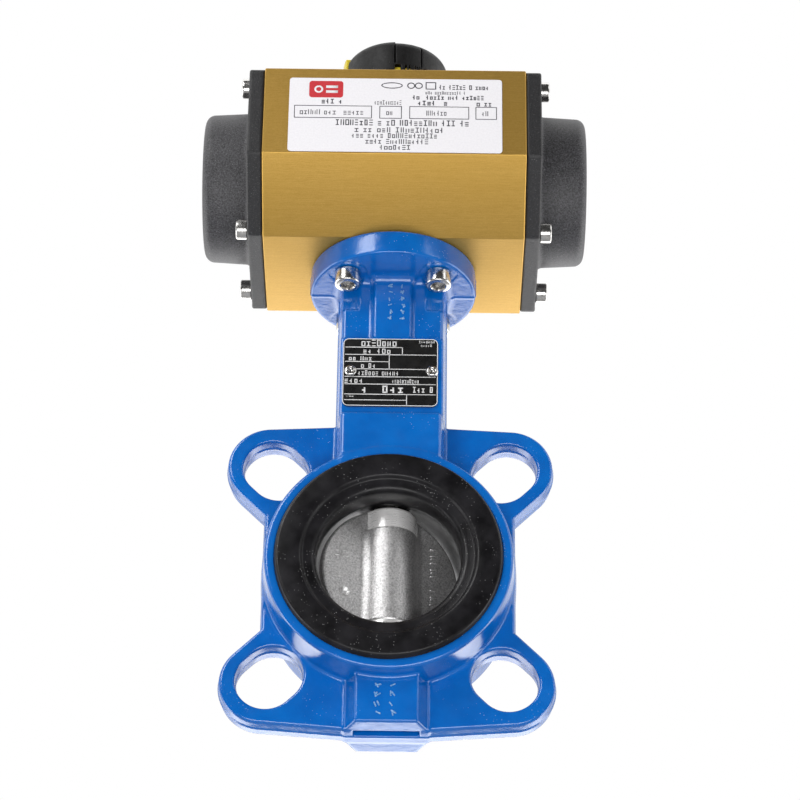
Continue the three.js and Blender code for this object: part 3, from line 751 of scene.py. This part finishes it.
def cast_marks():
    """Plain raised foundry marks on the rib and the boss: bars and dots with no meaning, coloured a paler blue
    as a painted highlight.
    """
    draw = random.Random(7)
    marks = Marks()
    for row in range(6):
        z = 121.6 - row * 3.0
        for x in (-0.9, 3.9):
            foundry_mark(marks, draw, x, -RIB_HALF_D, z, 0.8)
    for x in (-3.6, 1.9):
        for row in range(4):
            z = -50.2 - row * 3.6
            foundry_mark(marks, draw, x, -BOSS_HALF_D, z, 1.1)
    finish_piece(marks.object("casting_marks", 60), BLUE_PAINTED_HIGHLIGHT, "housing")


# ---- liner
def seat_liner():
    seat_end = math.acos(BORE_R / SEAT_BALL_R)
    seat = [(SEAT_BALL_R * math.cos(a), -SEAT_BALL_R * math.sin(a)) for a in np.linspace(0.03, seat_end, 9)]
    profile = [
        *seat, (BORE_R - 0.05, -12.0), (BORE_R, -17.8), (27.15, -18.8), (27.7, -19.7), (28.5, -20.25),
        (29.4, -20.45), (31.5, -20.6), (31.9, -20.75),
        (32.2, -21.1), (32.6, -21.75), (33.0, -22.05), (33.6, -LINER_FACE), (36.0, -LINER_FACE),
        (LINER_R - 1.3, -LINER_FACE), (LINER_R - 0.7, -LINER_FACE + 0.1),
        (LINER_R - 0.25, -LINER_FACE + 0.4), (LINER_R, -LINER_FACE + 1.0), (LINER_R + 0.4, -19.9),
        (LINER_R + 1.2, -19.2), (POCKET_R - 0.15, -19.0), (POCKET_R - 0.15, -17.7), (37.2, -17.7),
    ]
    mirrored = [(r, -h) for r, h in reversed(profile)]
    count = 160
    made = lathe("seat_liner_rubber", profile + mirrored, count, along("Y"), tube=True, smooth_angle=50)
    upper = lathe("cut_upper", [(STEM_HOLE_R, 20), (STEM_HOLE_R, 45)], 48)
    lower = lathe("cut_lower", [(LOW_STEM_HOLE_R, -45), (LOW_STEM_HOLE_R, -20)], 48)
    cut_with(made, upper, lower)
    finish_piece(made, RUBBER, "housing", ["seat_liner"])


# ---- disc
def turned_frame(x, y, angle):
    """The same point in axes that are turned by an angle about Z."""
    c, s = math.cos(angle), math.sin(angle)
    return x * c + y * s, -x * s + y * c


def disc_field(x, y, z):
    s, t = turned_frame(x, y, DISC_TURN)
    rho = np.sqrt(s * s + z * z)
    hub_r = np.sqrt(s * s + t * t)
    ball = np.sqrt(s * s + t * t + z * z) - DISC_R
    half = 3.2 - 0.045 * rho
    plate = round_max(rho - DISC_R, np.abs(t) - half, 0.9)
    skim = np.where((z > TURNED_ABOVE) | (z < TURNED_BELOW), 0.45, 0)
    hub = round_max(hub_r - (HUB_R - skim), ball, 0.7)
    body = round_min(plate, hub, 2.6)
    body = np.maximum(body, ball)
    dimple = np.sqrt((s + 18.6) ** 2 + (t + 3.6) ** 2 + (z + 9.6) ** 2) - 2.35
    body = cut(body, dimple, 0.3)
    upper = np.maximum(hub_r - STEM_HOLE_R, 22.4 - z)
    square = np.maximum(np.maximum(np.abs(s), np.abs(t)) - 4.9, np.maximum(7.5 - z, z - 30))
    lower = np.maximum(hub_r - LOW_STEM_HOLE_R, z + 9)
    return np.maximum(body, -np.minimum(np.minimum(upper, square), lower))


def on_disc(s, t, z):
    return (*turned_frame(s, t, -DISC_TURN), z)


def valve_disc():
    reach = np.array((DISC_R, 16.0, DISC_R))
    made = cast_piece("valve_disc_casting", disc_field, -reach, reach, 0.38)
    finish_piece(made, CAST_STEEL, "drive", ["valve_disc"])
    made.data.materials.append(TURNED_STEEL)
    co = np.empty(len(made.data.polygons) * 3)
    made.data.polygons.foreach_get("center", co)
    co = co.reshape(-1, 3) / MM
    near_hub = np.hypot(co[:, 0], co[:, 1]) < HUB_R + 0.05
    shown = near_hub & ((co[:, 2] > TURNED_ABOVE) | (co[:, 2] < TURNED_BELOW))
    made.data.polygons.foreach_set("material_index", shown.astype(np.int32))
    marks = Marks()
    draw = random.Random(3)
    t = DISC_FRONT - 0.25
    for s in (-21.3, -18.2):
        low_left, low_right = on_disc(s - 0.9, t, 5.0), on_disc(s + 0.9, t, 5.0)
        top_left, top_right = on_disc(s - 0.9, t, 7.2), on_disc(s + 0.9, t, 7.2)
        for ends in ((top_left, top_right), (low_left, low_right), (low_right, top_right)):
            marks.stroke(*ends, 0.36)
    for row in range(9):
        z = 15.0 - row * 2.9
        if row == 5:
            continue
        lean = draw.uniform(0.2, 1.0)
        start = on_disc(16.0, DISC_FRONT - 0.2, z)
        marks.stroke(start, on_disc(18.4, DISC_FRONT - 0.1, z + lean), 0.36)
        if row % 2:
            start = on_disc(16.2, DISC_FRONT - 0.2, z - 1.1)
            marks.stroke(start, on_disc(17.6, DISC_FRONT - 0.15, z - 0.6), 0.34)
    finish_piece(marks.object("disc_marks", 60), CAST_STEEL, "drive")


# ---- actuator body
def octagon(inset=0.0, r=0.6, steps=3):
    """Rounded section of the extrusion in Y, Z, counter-clockwise from the +Y side."""
    w, h = ACT_HALF_W - inset, ACT_HALF_H - inset
    t, s = FLAT_TOP_W - inset * 0.3, FLAT_SIDE_H - inset * 0.5
    corner = [(w, -s), (w, s), (t, h), (-t, h), (-w, s), (-w, -s), (-t, -h), (t, -h)]
    points = []
    for i, p in enumerate(corner):
        before, after = Vector(corner[i - 1]), Vector(corner[(i + 1) % 8])
        here = Vector(p)
        a, b = (before - here).normalized(), (after - here).normalized()
        half = math.acos(max(-1, min(1, a.dot(b)))) / 2
        reach = r / math.tan(half)
        start, end = here + a * reach, here + b * reach
        for k in range(steps + 1):
            u = k / steps
            q = start * (1 - u) ** 2 + here * 2 * u * (1 - u) + end * u ** 2
            points.append((q.x, q.y))
    return points


def countersunk(r, mouth, bottom, face, sink, rise, count, matrix):
    """Cutter for a hole in from a face with a cone at its mouth."""
    profile = [(r, bottom), (r, face - sink), (mouth, face + rise), (mouth, face + 3)]
    return lathe("cutter", profile, count, matrix)


def tapped(face, depth, matrix):
    return countersunk(TAP_R, 2.8, face - depth, face, 0.5, 0.2, 24, matrix)


def body_cutters():
    """Bore, pinion passages, ports and screw holes of the extrusion."""
    yield lathe("cutter", [(ACT_BORE_R, -60), (ACT_BORE_R, 60)], 96, along("X", (0, 0, ACT_Z)))
    yield lathe("cutter", [(17.2, 120), (17.2, ACT_Z)], 64)
    top_hole = [(12, ACT_Z), (12, TOP_FACE - 0.8), (13.2, TOP_FACE + 0.4), (13.2, TOP_FACE + 4)]
    yield lathe("cutter", top_hole, 64)
    for sx in (-1, 1):
        for sy in (-1, 1):
            yield tapped(TOP_FACE, 6, Matrix.Translation((40 * sx, 15 * sy, 0)))
            yield tapped(ACT_HALF_W, 8, along("Y", (16 * sx, 0, ACT_Z + 12 * sy)))
            at = Matrix.Translation((BOLT_XY * sx, BOLT_XY * sy, 0))
            yield lathe("cutter", [(3.3, 120), (3.3, LOW_FACE + 10)], 24, at)
            for end in (-1, 1):
                at = (end * (ACT_HALF_LEN - 6), CAP_SCREW_Y * sx, ACT_Z + CAP_SCREW_Z * sy)
                yield lathe("cutter", [(2.8, -7), (2.8, 7)], 20, along("X", at))
        yield countersunk(4.3, 5.4, 38, ACT_HALF_W, 1.2, 0.1, 40, along("Y", (12 * sx, 0, ACT_Z)))


def actuator_body():
    edge = 0.35
    inner_end = ACT_HALF_LEN - edge
    rows = []
    for x, inset in ((-ACT_HALF_LEN, edge), (-inner_end, 0), (inner_end, 0), (ACT_HALF_LEN, edge)):
        rows.append([(x, y, ACT_Z + z) for y, z in octagon(inset, 0.7)])
    verts, faces = loft(rows)
    made = mesh_object("actuator_extrusion", verts, faces, 25)
    cut_with(made, *body_cutters())
    made.data.shade_smooth()
    made.data.set_sharp_from_angle(angle=math.radians(25))
    finish_piece(made, GOLD, "housing", ["actuator_body"])


# ---- end caps
CAP_SECTION = [(float(y), float(z)) for y, z in octagon(0.7, 2.2, 5)]


def cap_field(x, y, z):
    """The right end cap, x measured from the end of the extrusion and z from the bore axis."""
    rho = np.sqrt(y * y + z * z)
    plate = round_max(polygon_field(y, z, CAP_SECTION), slab(x, 0.1, CAP_PLATE), 0.8)
    top = CAP_OUT - 0.0006 * rho * rho
    wall = CUP_R + 0.7 - 0.055 * (x - CAP_PLATE)
    cup = round_max(rho - wall, np.maximum(x - top, 1 - x), 3.4)
    spigot = np.maximum(rho - 32.5, slab(x, SPIGOT_END, 2.0))
    body = round_min(plate, cup, 2.4)
    body = np.minimum(body, spigot)
    u, v = np.abs(y) - CAP_SCREW_Y, np.abs(z) - CAP_SCREW_Z
    screw = np.sqrt(u * u + v * v)
    seat = np.maximum(screw - 5.6, CAP_PLATE - x)
    body = cut(body, seat, 0.4)
    cavity = np.maximum(rho - (27.4 - 0.09 * x), x - (CAP_OUT - 4.2))
    groove = np.maximum(np.abs(rho - 32.3) - 1.7, slab(x, -2.9, -0.7))
    inner = np.minimum(np.minimum(cavity, groove), screw - 2.8)
    return np.maximum(body, -inner)


def end_caps():
    lo = np.array((SPIGOT_END, -ACT_HALF_W, -ACT_HALF_H)) - LIFT_PAD
    hi = np.array((CAP_OUT, ACT_HALF_W, ACT_HALF_H)) + LIFT_PAD
    verts, quads = lift(cap_field, lo, hi, 0.62)
    for side, name in ((1, "right"), (-1, "left")):
        v = (verts + (ACT_HALF_LEN, 0, 0)) * (side, 1, 1) + (0, 0, ACT_Z)
        made = mesh_object(f"end_cap_casting_{name}", v, quads if side > 0 else quads[:, ::-1].copy(), 0)
        finish_piece(made, CAP_BLACK, "housing", [f"end_cap_{name}"])


# ---- screws
def cap_screw_profile(shank, head, height, length, socket):
    """Rows for a socket head cap screw: shank up, head down, closed at the socket floor."""
    return [
        (socket * 0.35, -height + socket * 1.15), (socket, -height + socket, 6), (socket, -height + 0.45, 6),
        (socket * 1.19, -height), (head - 0.9, -height), (head - 0.35, -height + 0.16),
        (head - 0.08, -height + 0.42), (head, -height + 0.8), (head, -0.35), (head - 0.3, 0),
        (shank, 0), (shank, length - 0.8), (shank - 0.7, length),
    ]


def flange_screws():
    profile = cap_screw_profile(2.95, 5.0, 6.0, 19, 2.6)
    for i, (sx, sy) in enumerate(QUARTERS, 1):
        at = Matrix.Translation((BOLT_XY * sx, BOLT_XY * sy, FLANGE_LOW - 0.1))
        turn = Matrix.Rotation(math.radians(17 * i), 4, "Z")
        made = lathe(f"flange_screw_body_{i}", profile, 48, at @ turn, smooth_angle=35)
        finish_piece(made, STEEL, "housing", [f"flange_screw_{i}"])


def end_cap_screws():
    profile = cap_screw_profile(2.4, 4.0, 4.6, 16, 2.1)
    for side, word in ((-1, "left"), (1, "right")):
        for i, (sy, sz) in enumerate(QUARTERS, 1):
            at = (side * (CUP_START + 0.1), sy * CAP_SCREW_Y, ACT_Z + sz * CAP_SCREW_Z)
            matrix = along("X", at, flip=side > 0) @ Matrix.Rotation(math.radians(23 * i), 4, "Z")
            made = lathe(f"cap_screw_body_{word}_{i}", profile, 36, matrix, smooth_angle=35)
            finish_piece(made, STEEL, "housing", [f"end_cap_screw_{word}_{i}"])


# ---- plate, label
def rivets():
    face = PLATE_LO[1]
    rows = ((0.45, -0.5), (0.9, -0.75), (1.15, -1.25), (1.5, -1.38), (1.95, -1.2),
            (2.3, -0.75), (2.42, -0.12), (1.0, -0.1), (1.0, 4.2), (0.6, 4.4))
    profile = [(r, face + depth) for r, depth in rows]
    for x, side in ((-15.7, "left"), (15.5, "right")):
        made = lathe(f"plate_rivet_{side}", profile, 32, along("Y", (x, 0, 81.3)), smooth_angle=50)
        finish_piece(made, STEEL, "housing", [f"name_plate_rivet_{side}"])


def filler_text(marks, x0, x1, z0, z1, back, front, seed, pitch, weight):
    """A row of small meaningless shapes that fills the room of a printed line."""
    draw = random.Random(seed)
    x = x0
    h = z1 - z0
    while x + pitch * 0.7 < x1:
        if draw.random() < 0.13:
            x += pitch * 0.8
            continue
        w = pitch * draw.uniform(0.62, 0.8)
        kind = draw.randrange(5)
        low, high = z0, z1 - (h * 0.25 if draw.random() < 0.6 else 0)
        centre, mid, half = x + w * 0.5, (low + high) / 2, weight / 2
        bars = []
        if kind == 0:
            marks.frame(x, x + w, low, high, weight, back, front)
        elif kind == 1:
            bars = [(x, x + w, low, low + weight), (x, x + w, high - weight, high),
                    (centre - half, centre + half, low + weight, high - weight)]
        elif kind == 2:
            bars = [(x, x + weight, low, high), (x + w - weight, x + w, low, high)]
        elif kind == 3:
            bars = [(x, x + w, level, level + weight) for level in (low, mid - half, high - weight)]
        else:
            bars = [(centre - half, centre + half, low, high), (x, centre - half, mid - half, mid + half)]
        for corners in bars:
            marks.bar(*corners, back, front)
        x += pitch


def placer(lo, hi):
    """A function from fractions of a plate's width and height to x0, x1, z0, z1 on it."""
    w, h = hi[0] - lo[0], hi[2] - lo[2]

    def place(a, b, top, low):
        return lo[0] + a * w, lo[0] + b * w, hi[2] - low * h, hi[2] - top * h
    return place


def filler_rows(marks, place, rows, on, off, first_seed):
    for i, (a, b, top, low, pitch, weight) in enumerate(rows):
        filler_text(marks, *place(a, b, top, low), on, off, first_seed + i, pitch, weight)


def name_plate():
    x0, x1, z0, z1 = PLATE_LO[0], PLATE_HI[0], PLATE_LO[2], PLATE_HI[2]
    back, front = PLATE_HI[1], PLATE_LO[1]
    plate = front_plate("name_plate_body", x0, x1, z0, z1, 2.2, back, front, 0.25)
    finish_piece(plate, PLATE_BLACK, "housing", ["name_plate"])
    lines = Marks()
    on, off = front + 0.01, front - 0.035
    place = placer(PLATE_LO, PLATE_HI)
    half_line = 0.16
    for level, b in ((0.13, 0.62), (0.24, 0.98), (0.345, 0.48), (0.455, 0.98),
                     (0.57, 0.98), (0.68, 0.98), (0.83, 0.98), (0.915, 0.67)):
        left, right, z, _ = place(0.02, b, level, level)
        lines.bar(left, right, z - half_line, z + half_line, on, off)
    for at, a, b in ((0.625, 0.13, 0.24), (0.487, 0.24, 0.455), (0.675, 0.83, 0.985)):
        x, _, low, high = place(at, at, a, b)
        lines.bar(x - half_line, x + half_line, low, high, on, off)
    rows = [
        (0.19, 0.60, 0.015, 0.115, 2.0, 0.42), (0.80, 0.97, 0.025, 0.06, 0.9, 0.18),
        (0.82, 0.95, 0.08, 0.115, 0.9, 0.18), (0.17, 0.50, 0.15, 0.225, 1.9, 0.36),
        (0.06, 0.36, 0.265, 0.33, 1.6, 0.36), (0.19, 0.35, 0.37, 0.44, 1.6, 0.36),
        (0.16, 0.60, 0.475, 0.55, 1.35, 0.28), (0.02, 0.26, 0.585, 0.665, 1.9, 0.38),
        (0.52, 0.80, 0.60, 0.665, 0.95, 0.22), (0.14, 0.68, 0.70, 0.81, 3.0, 0.62),
        (0.74, 0.97, 0.715, 0.80, 1.7, 0.40), (0.04, 0.15, 0.855, 0.87, 1.1, 0.3),
    ]
    filler_rows(lines, place, rows, on, off, 40)
    finish_piece(lines.object("name_plate_lines", 0), PLATE_INK, "housing")
    rim = Marks()
    outer = rounded_outline(x0, x1, z0, z1, 2.2, 0.02)
    inner = rounded_outline(x0, x1, z0, z1, 2.2, 0.30)
    rings = [[(x, on + 0.05, z) for x, z in outer], [(x, off, z) for x, z in outer],
             [(x, off, z) for x, z in inner], [(x, on + 0.05, z) for x, z in inner]]
    rim.add(*loft_round(rings))
    finish_piece(rim.object("name_plate_rim", 30), PLATE_INK, "housing")


def label():
    x0, x1, z0, z1 = LABEL_LO[0], LABEL_HI[0], LABEL_LO[2], LABEL_HI[2]
    back, front = LABEL_HI[1], LABEL_LO[1]
    film = front_plate("label_film", x0, x1, z0, z1, 1.3, back, front, 0.08)
    finish_piece(film, LABEL_WHITE, "housing", ["label_plate"])
    ink = Marks()
    on, off = front + 0.02, front - 0.03
    place = placer(LABEL_LO, LABEL_HI)
    for a, b in ((0.025, 0.39), (0.425, 0.53), (0.565, 0.845), (0.875, 0.975)):
        ink.frame(*place(a, b, 0.378, 0.55), 0.30, on, off)
    rows = [
        (0.153, 0.262, 0.288, 0.353, 1.76, 0.42), (0.40, 0.535, 0.30, 0.36, 1.09, 0.24),
        (0.605, 0.762, 0.30, 0.364, 1.80, 0.42), (0.88, 0.963, 0.304, 0.37, 1.66, 0.38),
        (0.052, 0.35, 0.435, 0.502, 1.63, 0.30), (0.457, 0.495, 0.435, 0.502, 1.4, 0.30),
        (0.645, 0.75, 0.435, 0.502, 1.36, 0.28), (0.905, 0.942, 0.435, 0.502, 1.4, 0.30),
        (0.222, 0.852, 0.567, 0.645, 1.85, 0.40), (0.292, 0.752, 0.668, 0.737, 1.90, 0.36),
        (0.298, 0.73, 0.747, 0.813, 1.62, 0.34), (0.346, 0.67, 0.828, 0.892, 1.66, 0.34),
        (0.429, 0.60, 0.908, 0.970, 1.74, 0.34), (0.704, 0.936, 0.082, 0.145, 1.36, 0.36),
        (0.64, 0.828, 0.168, 0.213, 0.95, 0.22), (0.58, 0.917, 0.226, 0.285, 1.46, 0.40),
    ]
    filler_rows(ink, place, rows, on, off, 80)
    for a, half in ((0.482, 4.2), (0.572, 1.55), (0.608, 1.55)):
        x, _, z, _ = place(a, a, 0.095, 0.095)
        ink.loop(x, z, half, 1.5, 0.42, on, off)
    ink.frame(*place(0.64, 0.69, 0.045, 0.145), 0.40, on, off)
    finish_piece(ink.object("label_print", 0), LABEL_INK, "housing")
    badge = front_plate("label_badge", *place(0.093, 0.253, 0.043, 0.27), 1.2, on, off, 0.02)
    finish_piece(badge, LABEL_RED, "housing")
    sign = Marks()
    over, proud = off + 0.01, off - 0.03
    x, _, z, _ = place(0.138, 0.138, 0.157, 0.157)
    sign.loop(x, z, 1.75, 1.75, 0.75, over, proud)
    for top, low in ((0.105, 0.140), (0.172, 0.207)):
        sign.bar(*place(0.172, 0.228, top, low), over, proud)
    finish_piece(sign.object("label_badge_sign", 0), LABEL_WHITE, "housing")


# ---- indicator
def dome_field(x, y, z):
    v = turned_frame(x, y, DIAL_TURN)[1]
    rho = np.sqrt(x * x + y * y)
    top = DOME_HI[2] - 0.0011 * rho * rho
    turn = np.arctan2(y, x)
    panel = np.where((turn > math.radians(-165)) & (turn < math.radians(-92)), 0.35, 0.0)
    dome = round_max(rho - (DOME_HI[0] - 0.35 + panel), z - top + (0.35 - panel), 4.4)
    dome = round_max(dome, DOME_LO[2] - z, 0.3)
    for degrees in (-91.9, -60.6):
        a = math.radians(degrees)
        off = np.abs(x * math.sin(a) - y * math.cos(a)) - 0.35
        ahead = x * math.cos(a) + y * math.sin(a)
        slit = np.maximum(np.maximum(off, 224.4 - z), np.maximum(-ahead, 19.9 - rho))
        dome = cut(dome, slit, 0.12)
    window = np.maximum(np.maximum(np.abs(v) - 3.6, 18.5 - rho), z - 236.4)
    dome = cut(dome, window, 0.3)
    inside = np.maximum(np.maximum(rho - 18.0, z - 232), 10.6 - rho)
    inside = np.minimum(inside, np.maximum(rho - 20.6, z - 224))
    flat = turned_frame(x, y, DISC_TURN)[1]
    shaft = np.maximum(np.maximum(rho - STEM_HOLE_R, np.abs(flat) - 5.5), z - 234.4)
    hole = np.minimum(rho - 3, np.maximum(rho - 5.2, 235 - z))
    return np.maximum(dome, -np.minimum(np.minimum(inside, shaft), hole))


def yellow_field(x, y, z):
    v = turned_frame(x, y, DIAL_TURN)[1]
    rho = np.sqrt(x * x + y * y)
    floor = round_max(rho - 19.4, slab(z, YELLOW_LO[2], 223.6), 0.4)
    windows = round_max(np.abs(rho - 20.35) - 1.55, np.abs(v) - 3.2, 0.4)
    windows = round_max(windows, slab(z, 222, YELLOW_HI[2]), 0.5)
    return np.maximum(np.minimum(floor, windows), STEM_HOLE_R - rho)


def indicator():
    made = cast_piece("indicator_dome", dome_field, DOME_LO, DOME_HI, 0.36)
    finish_piece(made, BLACK_PLASTIC, "drive", ["indicator_cap"])
    made = cast_piece("indicator_dial", yellow_field, YELLOW_LO, YELLOW_HI, 0.36)
    finish_piece(made, YELLOW, "drive", ["indicator_base"])
    profile = cap_screw_profile(2.3, 4.6, 3.2, 10, 1.9)
    matrix = Matrix.Translation((0, 0, 235.5)) @ Matrix.Rotation(math.pi, 4, "X")
    made = lathe("indicator_screw_body", profile, 36, matrix, smooth_angle=35)
    finish_piece(made, STEEL, "drive", ["indicator_screw"])


# ---- CAD nodes that stay visible
def cad_materials():
    slots = {"stainless": STEEL, "black_rubber": RUBBER, "white_polymer": POLYMER, "bare_alloy": ALLOY,
             "blue_epoxy": BLUE, "gold_anodised": GOLD, "black_coating": CAP_BLACK,
             "cast_stainless": CAST_STEEL, "yellow_plastic": YELLOW, "black_plastic": BLACK_PLASTIC,
             "white_label": LABEL_WHITE, "black_plate": PLATE_BLACK}
    for row in frame["record"]["subparts"]:
        node = NODES[row["node"]]
        node.data.materials.clear()
        node.data.materials.append(slots[row["material_slot"]])


# ---- stage, light, camera
def stage():
    """A pale floor well below the part, 3 m square."""
    size, drop, n = 3000.0, 850.0, 24
    verts, faces = [], []
    for i in range(n + 1):
        for j in range(n + 1):
            verts.append(((i / n - 0.5) * size, (j / n - 0.5) * size, -drop))
    for i in range(n):
        for j in range(n):
            a = i * (n + 1) + j
            faces.append((a, a + n + 1, a + n + 2, a + 1))
    floor = mesh_object("studio_floor", verts, faces, 0)
    look = Look("studio_floor", (0.86, 0.86, 0.87), 0.8)
    look.color(look.shade(look.noise(4, 2), (0.85, 0.85, 0.86), (0.88, 0.88, 0.89)))
    floor.data.materials.append(look.mat)


def world():
    made = bpy.data.worlds.new("studio")
    bpy.context.scene.world = made
    made.use_nodes = True
    tree = made.node_tree
    tree.nodes.clear()
    new, link = tree.nodes.new, tree.links.new
    out = new("ShaderNodeOutputWorld")
    coords = new("ShaderNodeTexCoord")
    split = new("ShaderNodeSeparateXYZ")
    link(coords.outputs["Generated"], split.inputs[0])

    def ramp(axis, low, high, at_low, at_high):
        node = new("ShaderNodeMapRange")
        node.interpolation_type = "SMOOTHSTEP"
        for key, v in (("From Min", low), ("From Max", high), ("To Min", at_low), ("To Max", at_high)):
            node.inputs[key].default_value = v
        link(split.outputs[axis], node.inputs["Value"])
        return node.outputs["Result"]

    def math_node(kind, a, b):
        node = new("ShaderNodeMath")
        node.operation = kind
        link(a, node.inputs[0])
        if isinstance(b, float):
            node.inputs[1].default_value = b
        else:
            link(b, node.inputs[1])
        return node.outputs[0]

    behind = ramp("Y", -0.30, -0.14, 0.0, 1.0)
    walls = math_node("MULTIPLY", ramp("Y", 0.15, 0.6, 1.7, 1.0), behind)
    ground = math_node("MULTIPLY", ramp("Z", -0.20, 0.12, 3.0, 0.0), behind)
    glow = math_node("ADD", math_node("ADD", walls, ground), 0.06)
    shine, soft, seen = new("ShaderNodeBackground"), new("ShaderNodeBackground"), new("ShaderNodeBackground")
    for node in (shine, soft, seen):
        node.inputs["Color"].default_value = (1, 1, 1, 1)
    link(glow, shine.inputs["Strength"])
    soft.inputs["Strength"].default_value = 0.32
    seen.inputs["Strength"].default_value = 1.0

    def pick(factor, no, yes):
        node = new("ShaderNodeMixShader")
        for source, socket in zip((factor, no.outputs[0], yes.outputs[0]), node.inputs):
            link(source, socket)
        return node

    rays = new("ShaderNodeLightPath").outputs
    lit = pick(rays["Is Diffuse Ray"], shine, soft)
    link(pick(rays["Is Camera Ray"], lit, seen).outputs[0], out.inputs["Surface"])


def area_light(name, direction, distance, size, power, target=(0, 0, 0.08)):
    data = bpy.data.lights.new(name, "AREA")
    data.shape = "RECTANGLE"
    data.size, data.size_y = size
    data.energy = power
    made = bpy.data.objects.new(name, data)
    bpy.context.scene.collection.objects.link(made)
    target = Vector(target)
    made.location = target + Vector(direction).normalized() * distance
    made.rotation_euler = (target - made.location).to_track_quat("-Z", "Y").to_euler()


def camera():
    data = bpy.data.cameras.new("camera")
    data.sensor_width = 36
    data.lens = 143.22
    data.clip_start, data.clip_end = 0.05, 20
    made = bpy.data.objects.new("camera", data)
    bpy.context.scene.collection.objects.link(made)
    right = Vector((0.99992, -0.00245, 0.01227))
    up = Vector((-0.01181, -0.50809, 0.86122))
    back = -Vector((-0.00412, 0.86130, 0.50808))
    turn = Matrix((right, up, back)).transposed().to_4x4()
    made.matrix_world = Matrix.Translation((0.008377, -1.061619, -0.547967)) @ turn
    bpy.context.scene.camera = made


def lights():
    area_light("key_left", (-0.50, -0.70, 0.50), 0.85, (0.30, 0.46), 3.4, (-0.03, 0, 0.11))
    area_light("key_right", (0.69, -0.51, 0.51), 0.9, (0.26, 0.5), 0.9)
    area_light("front_low", (0.0, -0.84, -0.42), 0.75, (0.7, 0.3), 3.9, (0, 0, -0.03))
    view = bpy.context.scene.view_settings
    view.view_transform = "Standard"
    view.look = "None"


camera()
stage()
world()
lights()
cad_materials()
valve_casting()
cast_marks()
seat_liner()
valve_disc()
actuator_body()
end_caps()
flange_screws()
end_cap_screws()
rivets()
name_plate()
label()
indicator()

bpy.context.view_layer.update()
